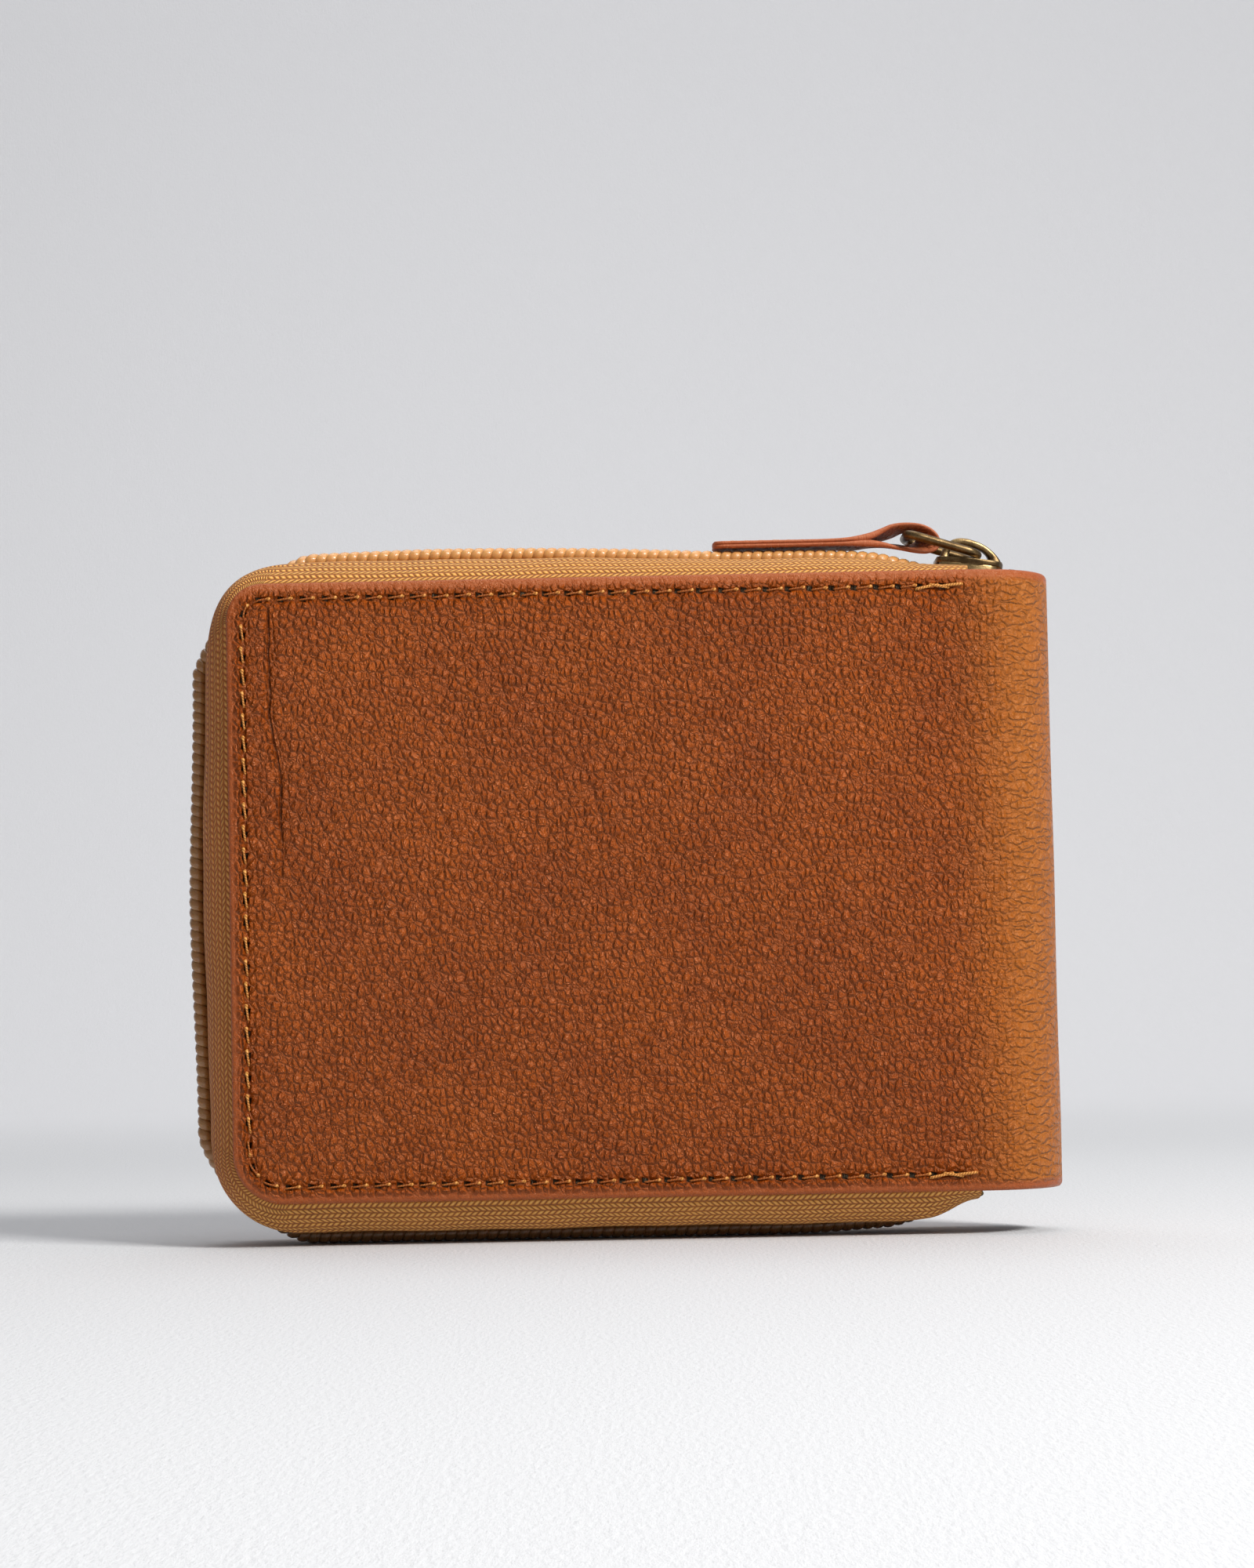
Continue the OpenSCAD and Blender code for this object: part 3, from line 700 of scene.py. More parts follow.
def seam_measure(u, v):
    """Signed distance from the seam (positive towards the inside) and length along it.
    Past the seam's ends, or further from it than the reach, the distance is the reach itself."""
    reach = 40.0
    tree = KDTree(len(SEAM))
    for i, (a, b) in enumerate(SEAM.tolist()):
        tree.insert((a, b, 0), i)
    tree.balance()
    found = [tree.find((a, b, 0))[1:] for a, b in zip(u.tolist(), v.tolist())]
    index = np.array([f[0] for f in found])
    distance = np.array([f[1] for f in found])
    no_edge = 300
    sides = (SHELL_LEFT, no_edge, SHELL_LOW, SHELL_TOP)
    depth = edge_distance(u, v, sides, (CORNER_TOP, 0, CORNER_LOW, 0))
    sign = np.where(depth > SEAM_INSET, 1.0, -1.0)
    along = index / (len(SEAM) - 1) * SEAM_COUNT * STITCH
    past = (u > SEAM_END) | (distance > reach)
    return np.where(past, reach, distance * sign), along


def waves(u, v, seed):
    """Soft unevenness of worked leather, from a few long waves."""
    draw = np.random.default_rng(seed)
    total = np.zeros_like(u)
    for _ in range(7):
        angle, length = draw.uniform(0, math.pi), draw.uniform(14, 46)
        phase, size = draw.uniform(0, 6.28), draw.uniform(0.3, 1.0)
        total += size * np.sin((u * math.cos(angle) + v * math.sin(angle)) / length * 6.28 + phase)
    return total / 7


def shell_relief(side):
    """Height of the outer leather above its plane: pillow, seam, puckers and a crease."""
    def relief(u, v, depth):
        shape = u.shape
        seam, along = seam_measure(u.ravel(), v.ravel())
        seam, along = seam.reshape(shape), along.reshape(shape)
        lift = 0.3 * (1 - np.exp(-np.maximum(depth - 2.5, 0) / 7)) - 0.05
        lift = lift * (1 - smoothstep(44, 56, u))
        lift += 0.16 * waves(u, v, 3 + side) * smoothstep(1, 9, depth)
        lift -= 0.18 * np.exp(-((seam / 0.55) ** 2))
        pucker = np.cos(along / STITCH * 2 * math.pi)
        lift += 0.07 * pucker * np.exp(-(((np.abs(seam) - 0.9) / 0.8) ** 2))
        fold_u = -48.1 + 1.4 * smoothstep(74, 62, v) + 0.25 * np.sin(v / 3.1)
        strength = smoothstep(44, 60, v) * smoothstep(91, 84, v)
        crease = np.exp(-(((u - fold_u) / 0.55) ** 2))
        if side == FRONT:
            lift -= 0.2 * crease * strength
            lift += 0.12 * np.exp(-(((u - fold_u + 1.6) / 1.3) ** 2)) * strength
        return lift
    return relief


def spine_lines(start, step):
    """Column positions: even over the cover, finer round the spine."""
    cover = np.linspace(start, SPINE_C, int((SPINE_C - start) / step))
    return np.append(cover, np.linspace(SPINE_C, SPINE_END, 49)[1:])


def bend_with_spine(obj, side):
    """Bakes the layer's transform into its mesh; its points already follow the cover and bend over the fold
    line on to the spine.
    """
    if side == FRONT:
        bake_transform(obj)
    else:
        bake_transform(obj)


def outer_leather(side, name, *nodes):
    """The hide of one cover and its half of the spine, with the edge and the seam's groove."""
    sides = (SHELL_LEFT, SPINE_END, SHELL_LOW, SHELL_TOP)
    rim, step = 0.8, 0.5
    place = cover_place(side, SPINE_R - HIDE / 2)
    points, faces, flat, edge = panel(
        sides, (CORNER_TOP, 0, CORNER_LOW, 0), place, HIDE, rim=rim, step=step,
        relief=shell_relief(side), joined=True, u_lines=spine_lines(SHELL_LEFT + rim, step),
    )
    seam, along = seam_measure(flat[:, 0], flat[:, 1])
    edge[:, 1] = np.where(flat[:, 2] > 0, seam, 40)
    edge[:, 2] = along
    if side == BACK:
        flat[:, 0] = 2 * SPINE_END - flat[:, 0]
    obj = mesh_facing(make_object(name, points, faces, hide, flat=flat, edge=edge))
    crisp_end(obj)
    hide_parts(*nodes)
    bend_with_spine(obj, side)


outer_leather(FRONT, "leather_front", "front_leather", "spine_leather")
outer_leather(BACK, "leather_back", "back_leather")


# ---- stitches ----

def stitch_parts(line, place, count, height, radius=0.2, share=0.78, shift=0.0, slant=0.16, knots=None):
    """Stitches along a (u, v) line: each rises out of its hole, lies down and sinks again.
    knots(s) gives the end of each stitch that stands up, -1 or 1, and how much the rest rises and is
    painted lit; where it stays low the thread is painted dark as shade."""
    s = lengths_along(line)
    pitch = s[-1] / count
    parts = []
    for i in range(count):
        t = np.linspace(-0.5, 0.5, 11)
        at = (i + 0.5 + shift + t * share) * pitch
        u = np.interp(at, s, line[:, 0])
        v = np.interp(at, s, line[:, 1])
        du, dv = np.interp(at + 0.2, s, line[:, 0]) - u, np.interp(at + 0.2, s, line[:, 1]) - v
        size = np.maximum(np.hypot(du, dv), 1e-6)
        wobble = rng.normal(0, 0.05)
        off = slant * t * 2 + wobble
        u, v = u - dv / size * off, v + du / size * off
        end, rise_and_painted_light = (-1, 1.0) if knots is None else knots((i + 0.5) * pitch)
        knot = np.exp(-(((t - end * 0.4) / 0.1) ** 2))
        arch = 1 - (2 * t) ** 4
        h = height + arch * (0.13 + 0.07 * rise_and_painted_light + rng.normal(0, 0.02)) - 0.26 * (1 - arch) + 0.12 * knot
        path = place(u, v, h)
        size = radius * (0.7 + 0.2 * rise_and_painted_light + 0.6 * knot)
        points, faces, flat, edge = tube(path, size, (0, 1, 0), sides=8)
        flat[:, 0] += i * 7.3
        # How lit each stitch is painted; the rest of it is painted shade.
        edge[:, 0] = np.repeat(np.clip(rise_and_painted_light + knot + rng.normal(0, 0.08), 0, 1), 8)
        parts.append((points, faces, flat, edge))
    return parts


def back_stitch(line_u, v, place, height, pitch):
    """Three crossed stitches that lock the end of a seam."""
    parts = []
    for k, tilt in ((0, 0.42), (1, -0.34), (2, 0.2)):
        t = np.linspace(-0.5, 0.5, 11)
        u = line_u + (k * 0.62 - 0.6) * pitch + t * pitch * 0.9
        w = v + tilt * t * 1.3 + 0.12 * (k - 1)
        h = height + 0.24 * (1 - (2 * t) ** 4) + 0.06 * k
        points, faces, flat, edge = tube(place(u, w, h - 0.05), 0.2, (0, 1, 0), sides=8)
        # The back stitches are painted mostly lit.
        edge[:, 0] = 0.8
        parts.append((points, faces, flat, edge))
    return parts


def seam_knots(s):
    """Stitches along the top and the bottom lie deep and are painted dark as shade; those down the left
    side stand higher and are painted lit.
    """
    top_end, left_end = 97, 170
    if s < top_end:
        return -1, 0.0
    if s < left_end:
        return -1, 0.6
    return 1, 0.05


for side, half in HALVES:
    place = cover_place(side, SPINE_R)
    parts = stitch_parts(
        SEAM, place, SEAM_COUNT - 1, -0.2, shift=0.5, share=0.76, radius=0.19, knots=seam_knots,
    )
    for v in (SHELL_TOP - SEAM_INSET, SHELL_LOW + SEAM_INSET):
        parts += back_stitch(SEAM_END - 2.0, v, place, -0.08, STITCH)
    seam = build(f"{half}_edge_seam", parts, seam_thread)
    place_on(seam, f"{half}_cover", "thread", f"{half}_edge_stitching")


# ---- zip ----

# The chain's radii at its two corners, then the start, radius and angle of the ramp at its low end
BEND_TOP, BEND_LOW, RAMP_X, RAMP_R, RAMP_A = 16.0, 14.0, 36.0, 30.0, 24.0
CHAIN_X = -58.8
BEND_TOP_X = CHAIN_X + BEND_TOP
BEND_TOP_Z = BOW[1] + math.sqrt((BOW[2] - BEND_TOP) ** 2 - (BEND_TOP_X - BOW[0]) ** 2)
BEND_TOP_A = math.degrees(math.atan2(BEND_TOP_Z - BOW[1], BEND_TOP_X - BOW[0]))
TAPE_END = 48.2


def course_points(course, t):
    """Points of an arc (centre, radius, two angles) or of a line (two ends)."""
    return arc_points(*course, t) if len(course) == 4 else line_points(*course, t)


def corner_share(normal):
    """How far each station is round the upper left and the lower left corner, from 0 to 1."""
    slant = -2 * normal[:, 0] * normal[:, 1]
    return np.clip(slant, 0, 1), np.where(normal[:, 0] < 0, np.clip(-slant, 0, 1), 0)


def zip_stations(x_start, step=0.5):
    """Centre line of the chain and the shell edge beside it, station by station."""
    bow_a0 = 90 - math.degrees(math.asin((x_start - BOW[0]) / BOW[2]))
    top_c, low_c = (BEND_TOP_X, BEND_TOP_Z), (CHAIN_X + BEND_LOW, COIL_R + BEND_LOW)
    edge_x, rim_z = SHELL_LEFT, SHELL_TOP
    corner_t = (edge_x + CORNER_TOP, rim_z - CORNER_TOP)
    corner_l = (edge_x + CORNER_LOW, SHELL_LOW + CORNER_LOW)
    ramp_c = (RAMP_X, COIL_R + RAMP_R)
    # Each run: its length, the chain's course and the shell edge's course, as an arc or a line
    runs = (
        (96, (BOW[:2], BOW[2], bow_a0, BEND_TOP_A), ((TAPE_END, rim_z), (corner_t[0], rim_z))),
        (25, (top_c, BEND_TOP, BEND_TOP_A, 180), (corner_t, CORNER_TOP, 90, 180)),
        (66, ((CHAIN_X, top_c[1]), (CHAIN_X, low_c[1])), ((edge_x, corner_t[1]), (edge_x, corner_l[1]))),
        (22, (low_c, BEND_LOW, 180, 270), (corner_l, CORNER_LOW, 180, 270)),
        (81, ((low_c[0], COIL_R), (RAMP_X, COIL_R)), ((corner_l[0], SHELL_LOW), (RAMP_X, SHELL_LOW))),
        (12.5, (ramp_c, RAMP_R, 270, 270 + RAMP_A), ((RAMP_X, SHELL_LOW), (TAPE_END, SHELL_LOW))),
    )
    left_run = 2
    chain, rim = [], []
    for k, (length, chain_course, rim_course) in enumerate(runs):
        t = np.linspace(0, 1, int(length / step) + 1)[(0 if k == 0 else 1):]
        chain.append(course_points(chain_course, t))
        rim.append(course_points(rim_course, t))
        if k == left_run:
            chain[k][:, 0] -= 0.75 * np.sin(math.pi * t) ** 1.5
    chain, rim = np.concatenate(chain), np.concatenate(rim)
    # The chain stands up a little on its way to the slider, and sinks behind the left corners
    top_run = chain[:, 1] > 80
    slack = 1.15 * smoothstep(10, 34, chain[:, 0]) * (1 - smoothstep(35, 44.5, chain[:, 0]))
    chain[:, 1] += np.where(top_run, slack, 0)
    normal = outwards(chain)
    upper, lower = corner_share(normal)
    chain -= normal * (2.3 * upper + 2.0 * lower)[:, None]
    return chain, normal, rim, outwards(rim)


def tape_grid(side):
    """Points of the tape's middle surface, from inside the shell's edge to the coil."""
    chain, normal, rim, rim_n = zip_stations(TAPE_END)
    count, rows = len(chain), 46
    s = lengths_along(chain)
    under = -COIL_R - TAPE_T / 2

    def at(base, out, amount, y):
        p = base + out * amount
        return np.stack([p[:, 0], np.full(count, float(y)), p[:, 1]], 1)

    end = smoothstep(s[-1] - 7.5, s[-1], s)
    ledge = chain + normal * under
    level = rim * 0.46 + ledge * 0.54
    upper, lower = corner_share(normal)
    below = np.clip(-normal[:, 1], 0, 1) ** 4
    above = np.clip(normal[:, 1], 0, 1) ** 4
    bulge = normal * (0.85 + 0.4 * above + 1.7 * upper + 1.6 * lower + 0.9 * below * (1 - end))[:, None]
    controls = np.stack([
        at(rim, rim_n, -3.8, 10.0),
        at(rim, rim_n, -1.9, 10.0),
        at(rim, rim_n, -0.35, 9.95),
        at(rim * 0.8 + ledge * 0.2 + bulge * 0.55, normal, 0.0, 9.0),
        at(level + bulge, normal, 0.0, 7.3),
        at(rim * 0.18 + ledge * 0.82 + bulge * 0.7, normal, 0.0, 5.6),
        at(ledge, normal, 0.0, 4.2),
        at(ledge, normal, 0.0, 2.6),
        at(ledge, normal, 0.0, 0.95),
    ])
    grid = spline(controls, rows)
    wave = 0.05 * np.sin(s / 2.6) + 0.06 * np.sin(s / 7.1 + 1.3)
    share = np.sin(np.linspace(0, math.pi, rows))[:, None]
    grid[..., 0] += share * wave[None] * normal[None, :, 0]
    grid[..., 2] += share * wave[None] * normal[None, :, 1]
    reach = np.linspace(-0.25, 1, rows).clip(0)[:, None]
    grid[..., 0] -= 2.4 * reach * end[None] ** 2
    grid[..., 2] += 0.3 * end[None] * (SHELL_LOW - grid[..., 2]).clip(0)
    grid[..., 1] *= side
    flat = np.zeros(grid.shape)
    flat[..., 0] = s[None]
    flat[..., 1] = lengths_along(grid[:, count // 2])[:, None]
    return grid, flat


def tape_piece(side, half):
    """One half of the zip's tape. Its edge attribute holds painted shade on the left side."""
    grid, flat = tape_grid(side)
    points, faces, flat, edge = thicken(grid, 0.5, flat)
    edge[:, 0] = smoothstep(-50, -57, points[:, 0])
    part = (points, faces, flat, edge)
    obj = piece(f"tape_{half}", [part], tape_cloth, f"{half}_cover", "zip_tape", f"zip_tape_{half}")


def coil_piece(side, half):
    """The coil as one wound wire over a cord, half of it turned into its neighbour's gaps."""
    chain, normal, _, _ = zip_stations(54.4, 0.4)
    low_end = smoothstep(22, 44, chain[:, 0]) * (chain[:, 1] < 40)
    chain = chain - normal * (0.95 * low_end)[:, None]
    s = lengths_along(chain)
    pitch, steps = 1.45, 15
    turns = int((s[-1] - 1.2) / pitch)
    a = np.arange(turns * steps + 1) / steps * 2 * math.pi
    centre_s = 0.6 + a / (2 * math.pi) * pitch + (0 if side == FRONT else pitch / 2)
    centre_s += 0.13 * pitch * np.sin(a)
    y = 1.36 - 1.24 * np.cos(a + math.pi)
    w = 0.66 * np.sin(a + math.pi)
    cx, cz = np.interp(centre_s, s, chain[:, 0]), np.interp(centre_s, s, chain[:, 1])
    nx, nz = np.interp(centre_s, s, normal[:, 0]), np.interp(centre_s, s, normal[:, 1])
    path = np.stack([cx + nx * w, side * y, cz + nz * w], 1)
    out = np.stack([nx * np.sin(a + math.pi), -side * np.cos(a + math.pi), nz * np.sin(a + math.pi)], 1)
    size = 0.76 - 0.4 * (1 - smoothstep(0.2, 1.3, y))
    wire = tube(path, size, out, sides=10, flatten=0.64)
    core_s = np.arange(0.3, s[-1] - 0.3, 0.8)
    core_x, core_z = np.interp(core_s, s, chain[:, 0]), np.interp(core_s, s, chain[:, 1])
    core = np.stack([core_x, np.full(len(core_s), side * 1.75), core_z], 1)
    parts = [wire, tube(core, 0.72, (0, 1, 0), sides=8)]
    for part in parts:
        # Painted shade: the left side, and the low run below about 7 mm, are marked dark in the edge
        # attribute's third value.
        shade = 0.65 * smoothstep(-54, -58, part[0][:, 0])
        part[3][:, 2] = np.maximum(1 - smoothstep(2.2, 7.0, part[0][:, 2]), shade)
    piece(f"coil_{half}", parts, coil_nylon, f"{half}_cover", "zip_coil", f"zip_coil_{half}")


for side, half in HALVES:
    tape_piece(side, half)
for side, half in HALVES:
    coil_piece(side, half)


# ---- metal parts ----

def wear(obj, scale=1.0):
    """Stores how convex each point of a mesh is, so that its edges can look rubbed."""
    mesh = obj.data
    co = np.zeros(len(mesh.vertices) * 3)
    mesh.vertices.foreach_get("co", co)
    co = co.reshape(-1, 3) / MM
    normal = np.zeros(len(mesh.vertices) * 3)
    mesh.vertices.foreach_get("normal", normal)
    normal = normal.reshape(-1, 3)
    ends = np.zeros(len(mesh.edges) * 2, int)
    mesh.edges.foreach_get("vertices", ends)
    a, b = ends.reshape(-1, 2).T
    gap = co[b] - co[a]
    bend = ((normal[b] - normal[a]) * gap).sum(1) / np.maximum((gap**2).sum(1), 1e-6)
    total, count = np.zeros(len(co)), np.zeros(len(co))
    for end in (a, b):
        np.add.at(total, end, bend)
        np.add.at(count, end, 1)
    value = np.clip(total / np.maximum(count, 1) * scale, 0, 1)
    for _ in range(2):
        near = np.zeros(len(co))
        np.add.at(near, a, value[b])
        np.add.at(near, b, value[a])
        value = np.maximum(value * 0.6, near / np.maximum(count, 1))
    for key, data in (("edge", np.stack([value, value * 0, value * 0], 1)), ("flat", co)):
        layer = mesh.attributes.get(key) or mesh.attributes.new(key, "FLOAT_VECTOR", "POINT")
        layer.data.foreach_set("vector", data.astype(np.float32).ravel())
    return obj


SLIDER_X = 49.0
TILT = math.asin((SLIDER_X - BOW[0]) / BOW[2])
SLIDER_Z = BOW[1] + BOW[2] * math.cos(TILT)


def slider_point(u, v, w):
    """From the slider's own frame to the wallet's frame."""
    x = SLIDER_X + u * math.cos(TILT) + w * math.sin(TILT)
    z = SLIDER_Z - u * math.sin(TILT) + w * math.cos(TILT)
    return x, v, z


def prism(work, outline, low, high, bevel, place, segments=3):
    """Adds an outline, pulled from low to high, with rounded edges."""
    base = [work.verts.new(Vector(place(a, b, low)) * MM) for a, b in outline]
    top = [work.verts.new(Vector(place(a, b, high)) * MM) for a, b in outline]
    n = len(outline)
    faces = [work.faces.new(base[::-1]), work.faces.new(top)]
    for i in range(n):
        faces.append(work.faces.new([base[i], base[(i + 1) % n], top[(i + 1) % n], top[i]]))
    rims = [e for f in faces[:2] for e in f.edges]
    bmesh.ops.bevel(work, geom=rims, offset=bevel * MM, segments=segments, profile=0.5, affect="EDGES")


def metal_object(name, work, body, *nodes):
    bmesh.ops.recalc_face_normals(work, faces=work.faces)
    mesh = bpy.data.meshes.new(name)
    work.to_mesh(mesh)
    work.free()
    mesh.polygons.foreach_set("use_smooth", [True] * len(mesh.polygons))
    mesh.materials.append(brass)
    obj = bpy.data.objects.new(name, mesh)
    bpy.context.scene.collection.objects.link(obj)
    mesh.update()
    place_on(wear(obj, 0.2), body, "brass", *nodes)


def slider_outline():
    """Plate outline of the slider: narrow tail, wide shoulders and a rounded nose."""
    half = [(-4.75, 2.6), (-4.5, 3.2), (-4.05, 3.7), (-2.2, 3.9), (-1.1, 4.08), (-0.2, 4.2), (1.2, 4.25),
            (2.6, 4.2), (3.3, 4.0), (3.8, 3.7), (4.25, 2.9), (4.5, 2.3), (4.7, 1.5), (4.75, 0.7)]
    return [(u, -v) for u, v in half] + half[::-1]


work = bmesh.new()
for low, high in ((1.4, 2.25), (-2.95, -2.1)):
    prism(work, slider_outline(), low, high, 0.26, slider_point)
for side in (FRONT, BACK):
    wall = [(-4.3, side * 3.36), (-4.1, side * 3.78), (-2.2, side * 3.92), (-0.2, side * 4.2),
            (2.6, side * 4.2), (3.6, side * 3.8), (3.7, side * 3.36)]
    prism(work, wall, -0.8, 1.5, 0.14, slider_point, 2)
neck = [(1.3, 0), (2.0, 0.36), (3.4, 0.4), (4.5, 0.25), (4.5, -0.25), (3.4, -0.4), (2.0, -0.36)]
prism(work, neck, -2.4, 1.7, 0.08, slider_point, 2)
metal_object("slider_block", work, "slider", "slider_body")

# The crown is an arch of flat bar over the slider's plate
arch_n, bar_n = 60, 20
outer = spline([(-4.15, 2.1), (-3.95, 3.2), (-3.35, 4.4), (-2.4, 5.15), (-1.1, 5.42), (0.5, 5.2),
                (2.0, 4.68), (3.3, 3.85), (4.2, 2.95), (4.7, 2.1)], arch_n)
inner = spline([(-2.9, 2.1), (-2.85, 3.0), (-2.55, 3.75), (-1.95, 4.15), (-1.1, 4.3), (0.4, 4.16),
                (1.6, 3.83), (2.3, 3.3), (2.65, 2.75), (2.85, 2.1)], arch_n)
turn = np.linspace(0, 2 * math.pi, bar_n, endpoint=False)
sx, sy = (np.sign(c) * np.abs(c) ** 0.55 for c in (np.cos(turn), np.sin(turn)))
middle, half_bar = (outer + inner) / 2, (outer - inner) / 2
width = 1.1 + 0.25 * smoothstep(0.7, 1.0, np.abs(np.linspace(-1, 1, arch_n)))
crown = middle[:, None] + half_bar[:, None] * sx[None, :, None]
x, y, z = slider_point(crown[..., 0], width[:, None] * sy[None, :], crown[..., 1])
crown_points = np.stack([x, y, z], -1).reshape(-1, 3)
ids = number_grid(arch_n, bar_n, True)
crown_faces = grid_faces(ids) + [ids[0, :bar_n].tolist(), ids[-1, :bar_n][::-1].tolist()]
crown_obj = mesh_facing(make_object("slider_arch", crown_points, crown_faces, brass))
place_on(wear(crown_obj, 0.3), "slider", "brass", "slider_crown")

# Pull ring: a rounded rectangle of wire, tilted up from its pivot at this x and z
PIVOT = (50.235, 93.934)
RING_A = math.radians(17.4)
RING_LEN, RING_HALF, RING_BEND = 10.2, 4.2, 1.7
loop = rounded_loop(0, RING_LEN, -RING_HALF, RING_HALF, RING_BEND, 12)
loop = even(np.concatenate([loop, loop[:1]]), 90)[:-1]
ring_x, ring_z = PIVOT[0] - loop[:, 0] * math.cos(RING_A), PIVOT[1] + loop[:, 0] * math.sin(RING_A)
ring_up = (math.sin(RING_A), 0, math.cos(RING_A))
ring_path = np.stack([ring_x, loop[:, 1], ring_z], 1)
points, faces = tube(ring_path, 0.65, ring_up, sides=16, closed=True, flatten=0.94)[:2]
ring = mesh_facing(make_object("pull_ring_wire", points, faces, brass))
place_on(wear(ring, 0.22), "pull_ring", "brass", "pull_ring")


def zip_stop(name, body, node, side, end, length, reach, high):
    """A folded metal clip at one end of a coil: end is 0 at the top and -1 at the bottom."""
    chain, normal, _, _ = zip_stations(54.2)
    base, out = chain[end], normal[end]
    ahead = np.array([out[1], -out[0]]) * (1 if end == 0 else -1)

    def stop_point(u, v, w):
        p = base + ahead * u + out * w
        return p[0], side * v, p[1]
    work = bmesh.new()
    prism(work, [(0, 0.66), (length, 0.66), (length, reach), (0, reach)], -1.2, high, 0.3, stop_point)
    metal_object(name, work, body, node)


for side, half in HALVES:
    zip_stop(f"top_stop_{half}", f"{half}_cover", f"zip_top_stop_{half}", side, 0, 1.25, 3.25, 1.38)
zip_stop("bottom_stop", "back_cover", "zip_bottom_stop", 1, -1, 1.4, 3.2, 1.15)


# ---- pull tab: one leather strip folded over the ring, with a slack loop ----

TAB_HALF, LOOP_HALF, TAB_T = 3.3, 2.4, 0.5
TAB_START = 13.3
LOWER_RUN = [(TAB_START, 95.88), (18, 95.88), (23, 95.88), (28, 95.89)]
UPPER_RUN = [(29.5, 96.38), (26, 96.35), (20, 96.35), (TAB_START, 96.35)]


def tab_course(loop):
    """The strip's course in x and z: along the zip, round the ring by this loop and back."""
    return even(spline(LOWER_RUN + loop + UPPER_RUN, 400), 220)


# The loop is slack on the near side and tight round the ring on the far side
tab_line = tab_course([
    (32, 95.92), (35, 95.96), (37.4, 95.7), (39.6, 95.1), (41.8, 94.6), (43.5, 94.5), (44.7, 94.95),
    (45.1, 95.8), (44.85, 96.8), (43.9, 97.75), (42.4, 98.4), (40.4, 98.62), (38.6, 98.42),
    (37.1, 97.7), (35.4, 96.95), (33, 96.55),
])
far_line = tab_course([
    (32, 95.95), (35, 96.1), (37.4, 96.22), (39, 96.15), (40.2, 95.95), (41.3, 96.1), (42, 96.6),
    (42.1, 97.1), (41.8, 97.6), (41.1, 97.95), (40.4, 98.05), (39.5, 97.85), (38.6, 97.35),
    (37.2, 96.9), (35, 96.68), (32.4, 96.5),
])
tab_s = lengths_along(tab_line)
from_end = np.minimum(tab_s, tab_s[-1] - tab_s)
half_width = TAB_HALF - (TAB_HALF - LOOP_HALF) * smoothstep(18, 26, from_end)
round_end = np.sqrt(np.clip(1 - (1 - np.clip(from_end / 1.6, 0, 1)) ** 2, 0, 1))
half_width = half_width - 1.6 * (1 - round_end)
across = np.sin(np.linspace(-0.5, 0.5, 21) * math.pi)
tab_grid = np.zeros((len(tab_line), len(across), 3))
tight = (0.5 + 0.5 * across)[None, :]
tab_grid[..., 0] = tab_line[:, 0, None] * (1 - tight) + far_line[:, 0, None] * tight
tab_grid[..., 1] = half_width[:, None] * across[None]
tab_grid[..., 2] = tab_line[:, 1, None] * (1 - tight) + far_line[:, 1, None] * tight
side_gap = half_width[:, None] * (1 - np.abs(across[None]))
edge_gap = np.minimum(side_gap, from_end[:, None])
rounding = np.sqrt(np.clip(1 - (1 - np.clip(edge_gap / 0.3, 0, 1)) ** 2, 0.04, 1))
# The strip is thicker where its two runs part
part_x = 35.3
rounding = rounding * (1 + 0.85 * np.exp(-(((tab_line[:, 0] - part_x) / 2.3) ** 2)))[:, None]
tab_flat = np.zeros(tab_grid.shape)
tab_flat[..., 0] = tab_s[:, None]
tab_flat[..., 1] = tab_grid[..., 1]
tab_edge = np.full(tab_grid.shape, FAR)
tab_edge[..., 0] = edge_gap + 0.72
tab_part = thicken(tab_grid, TAB_T * rounding, tab_flat, tab_edge)
tab = mesh_facing(build("leather_tab", [tab_part], tab_hide))
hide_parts("pull_tab")
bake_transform(tab)


def tab_place(top):
    def place(u, v, h):
        z = 96.37 + TAB_T / 2 + h if top else 95.86 - TAB_T / 2 - h
        return np.stack([u, v, z], 1)
    return place


parts = []
seam_u = np.linspace(27, 15.2, 40)
for v in (-TAB_HALF + 0.8, TAB_HALF - 0.8):
    line = np.stack([seam_u, np.full(40, v) * (1 - 0.06 * smoothstep(22, 27, seam_u))], 1)
    parts += stitch_parts(line, tab_place(True), 6, -0.24, radius=0.12, share=0.8)
    parts += stitch_parts(line, tab_place(False), 6, -0.3, radius=0.1, share=0.8)
place_on(build("tab_seam", parts, seam_thread), "pull_tab", "thread", "pull_tab_stitching")


# ---- inside ----

def lining(side, half, *nodes):
    """Lining of one cover and its half of the spine."""
    inset, rim = 1.2, 0.25
    sides = (SHELL_LEFT + inset, SPINE_END, SHELL_LOW + inset, SHELL_TOP - inset)
    radii = (CORNER_TOP - inset, 0, CORNER_LOW - inset, 0)
    part = panel(
        sides, radii, cover_place(side, 9.4), 0.5, rim=rim, step=1.4, joined=True,
        relief=lambda u, v, d: 0.03 * waves(u, v, 11 + side), u_lines=spine_lines(sides[0] + rim, 1.4),
    )
    obj = mesh_facing(build(f"lining_{half}", [part], cloth))
    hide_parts(*nodes)
    bend_with_spine(obj, side)


lining(FRONT, "front", "front_lining", "spine_lining")
lining(BACK, "back", "back_lining")


def pocket_relief(top, seed):
    """A pressed line under the top edge, a soft belly and a little unevenness."""
    def relief(u, v, depth):
        lift = -0.1 * np.exp(-(((v - (top - 1.8)) / 0.28) ** 2))
        return lift + 0.05 * waves(u, v, seed) * smoothstep(0.5, 4, depth) - 0.03
    return relief


WALL_Y, BASE_Y, POCKET_T, STRIP = 7.3, 8.4, 0.6, 1.4
POCKET_X, CARD_X, POCKET_Z, WALL_TOP = (-48.5, 44.0), (-47.0, 42.0), 9.0, 82.0


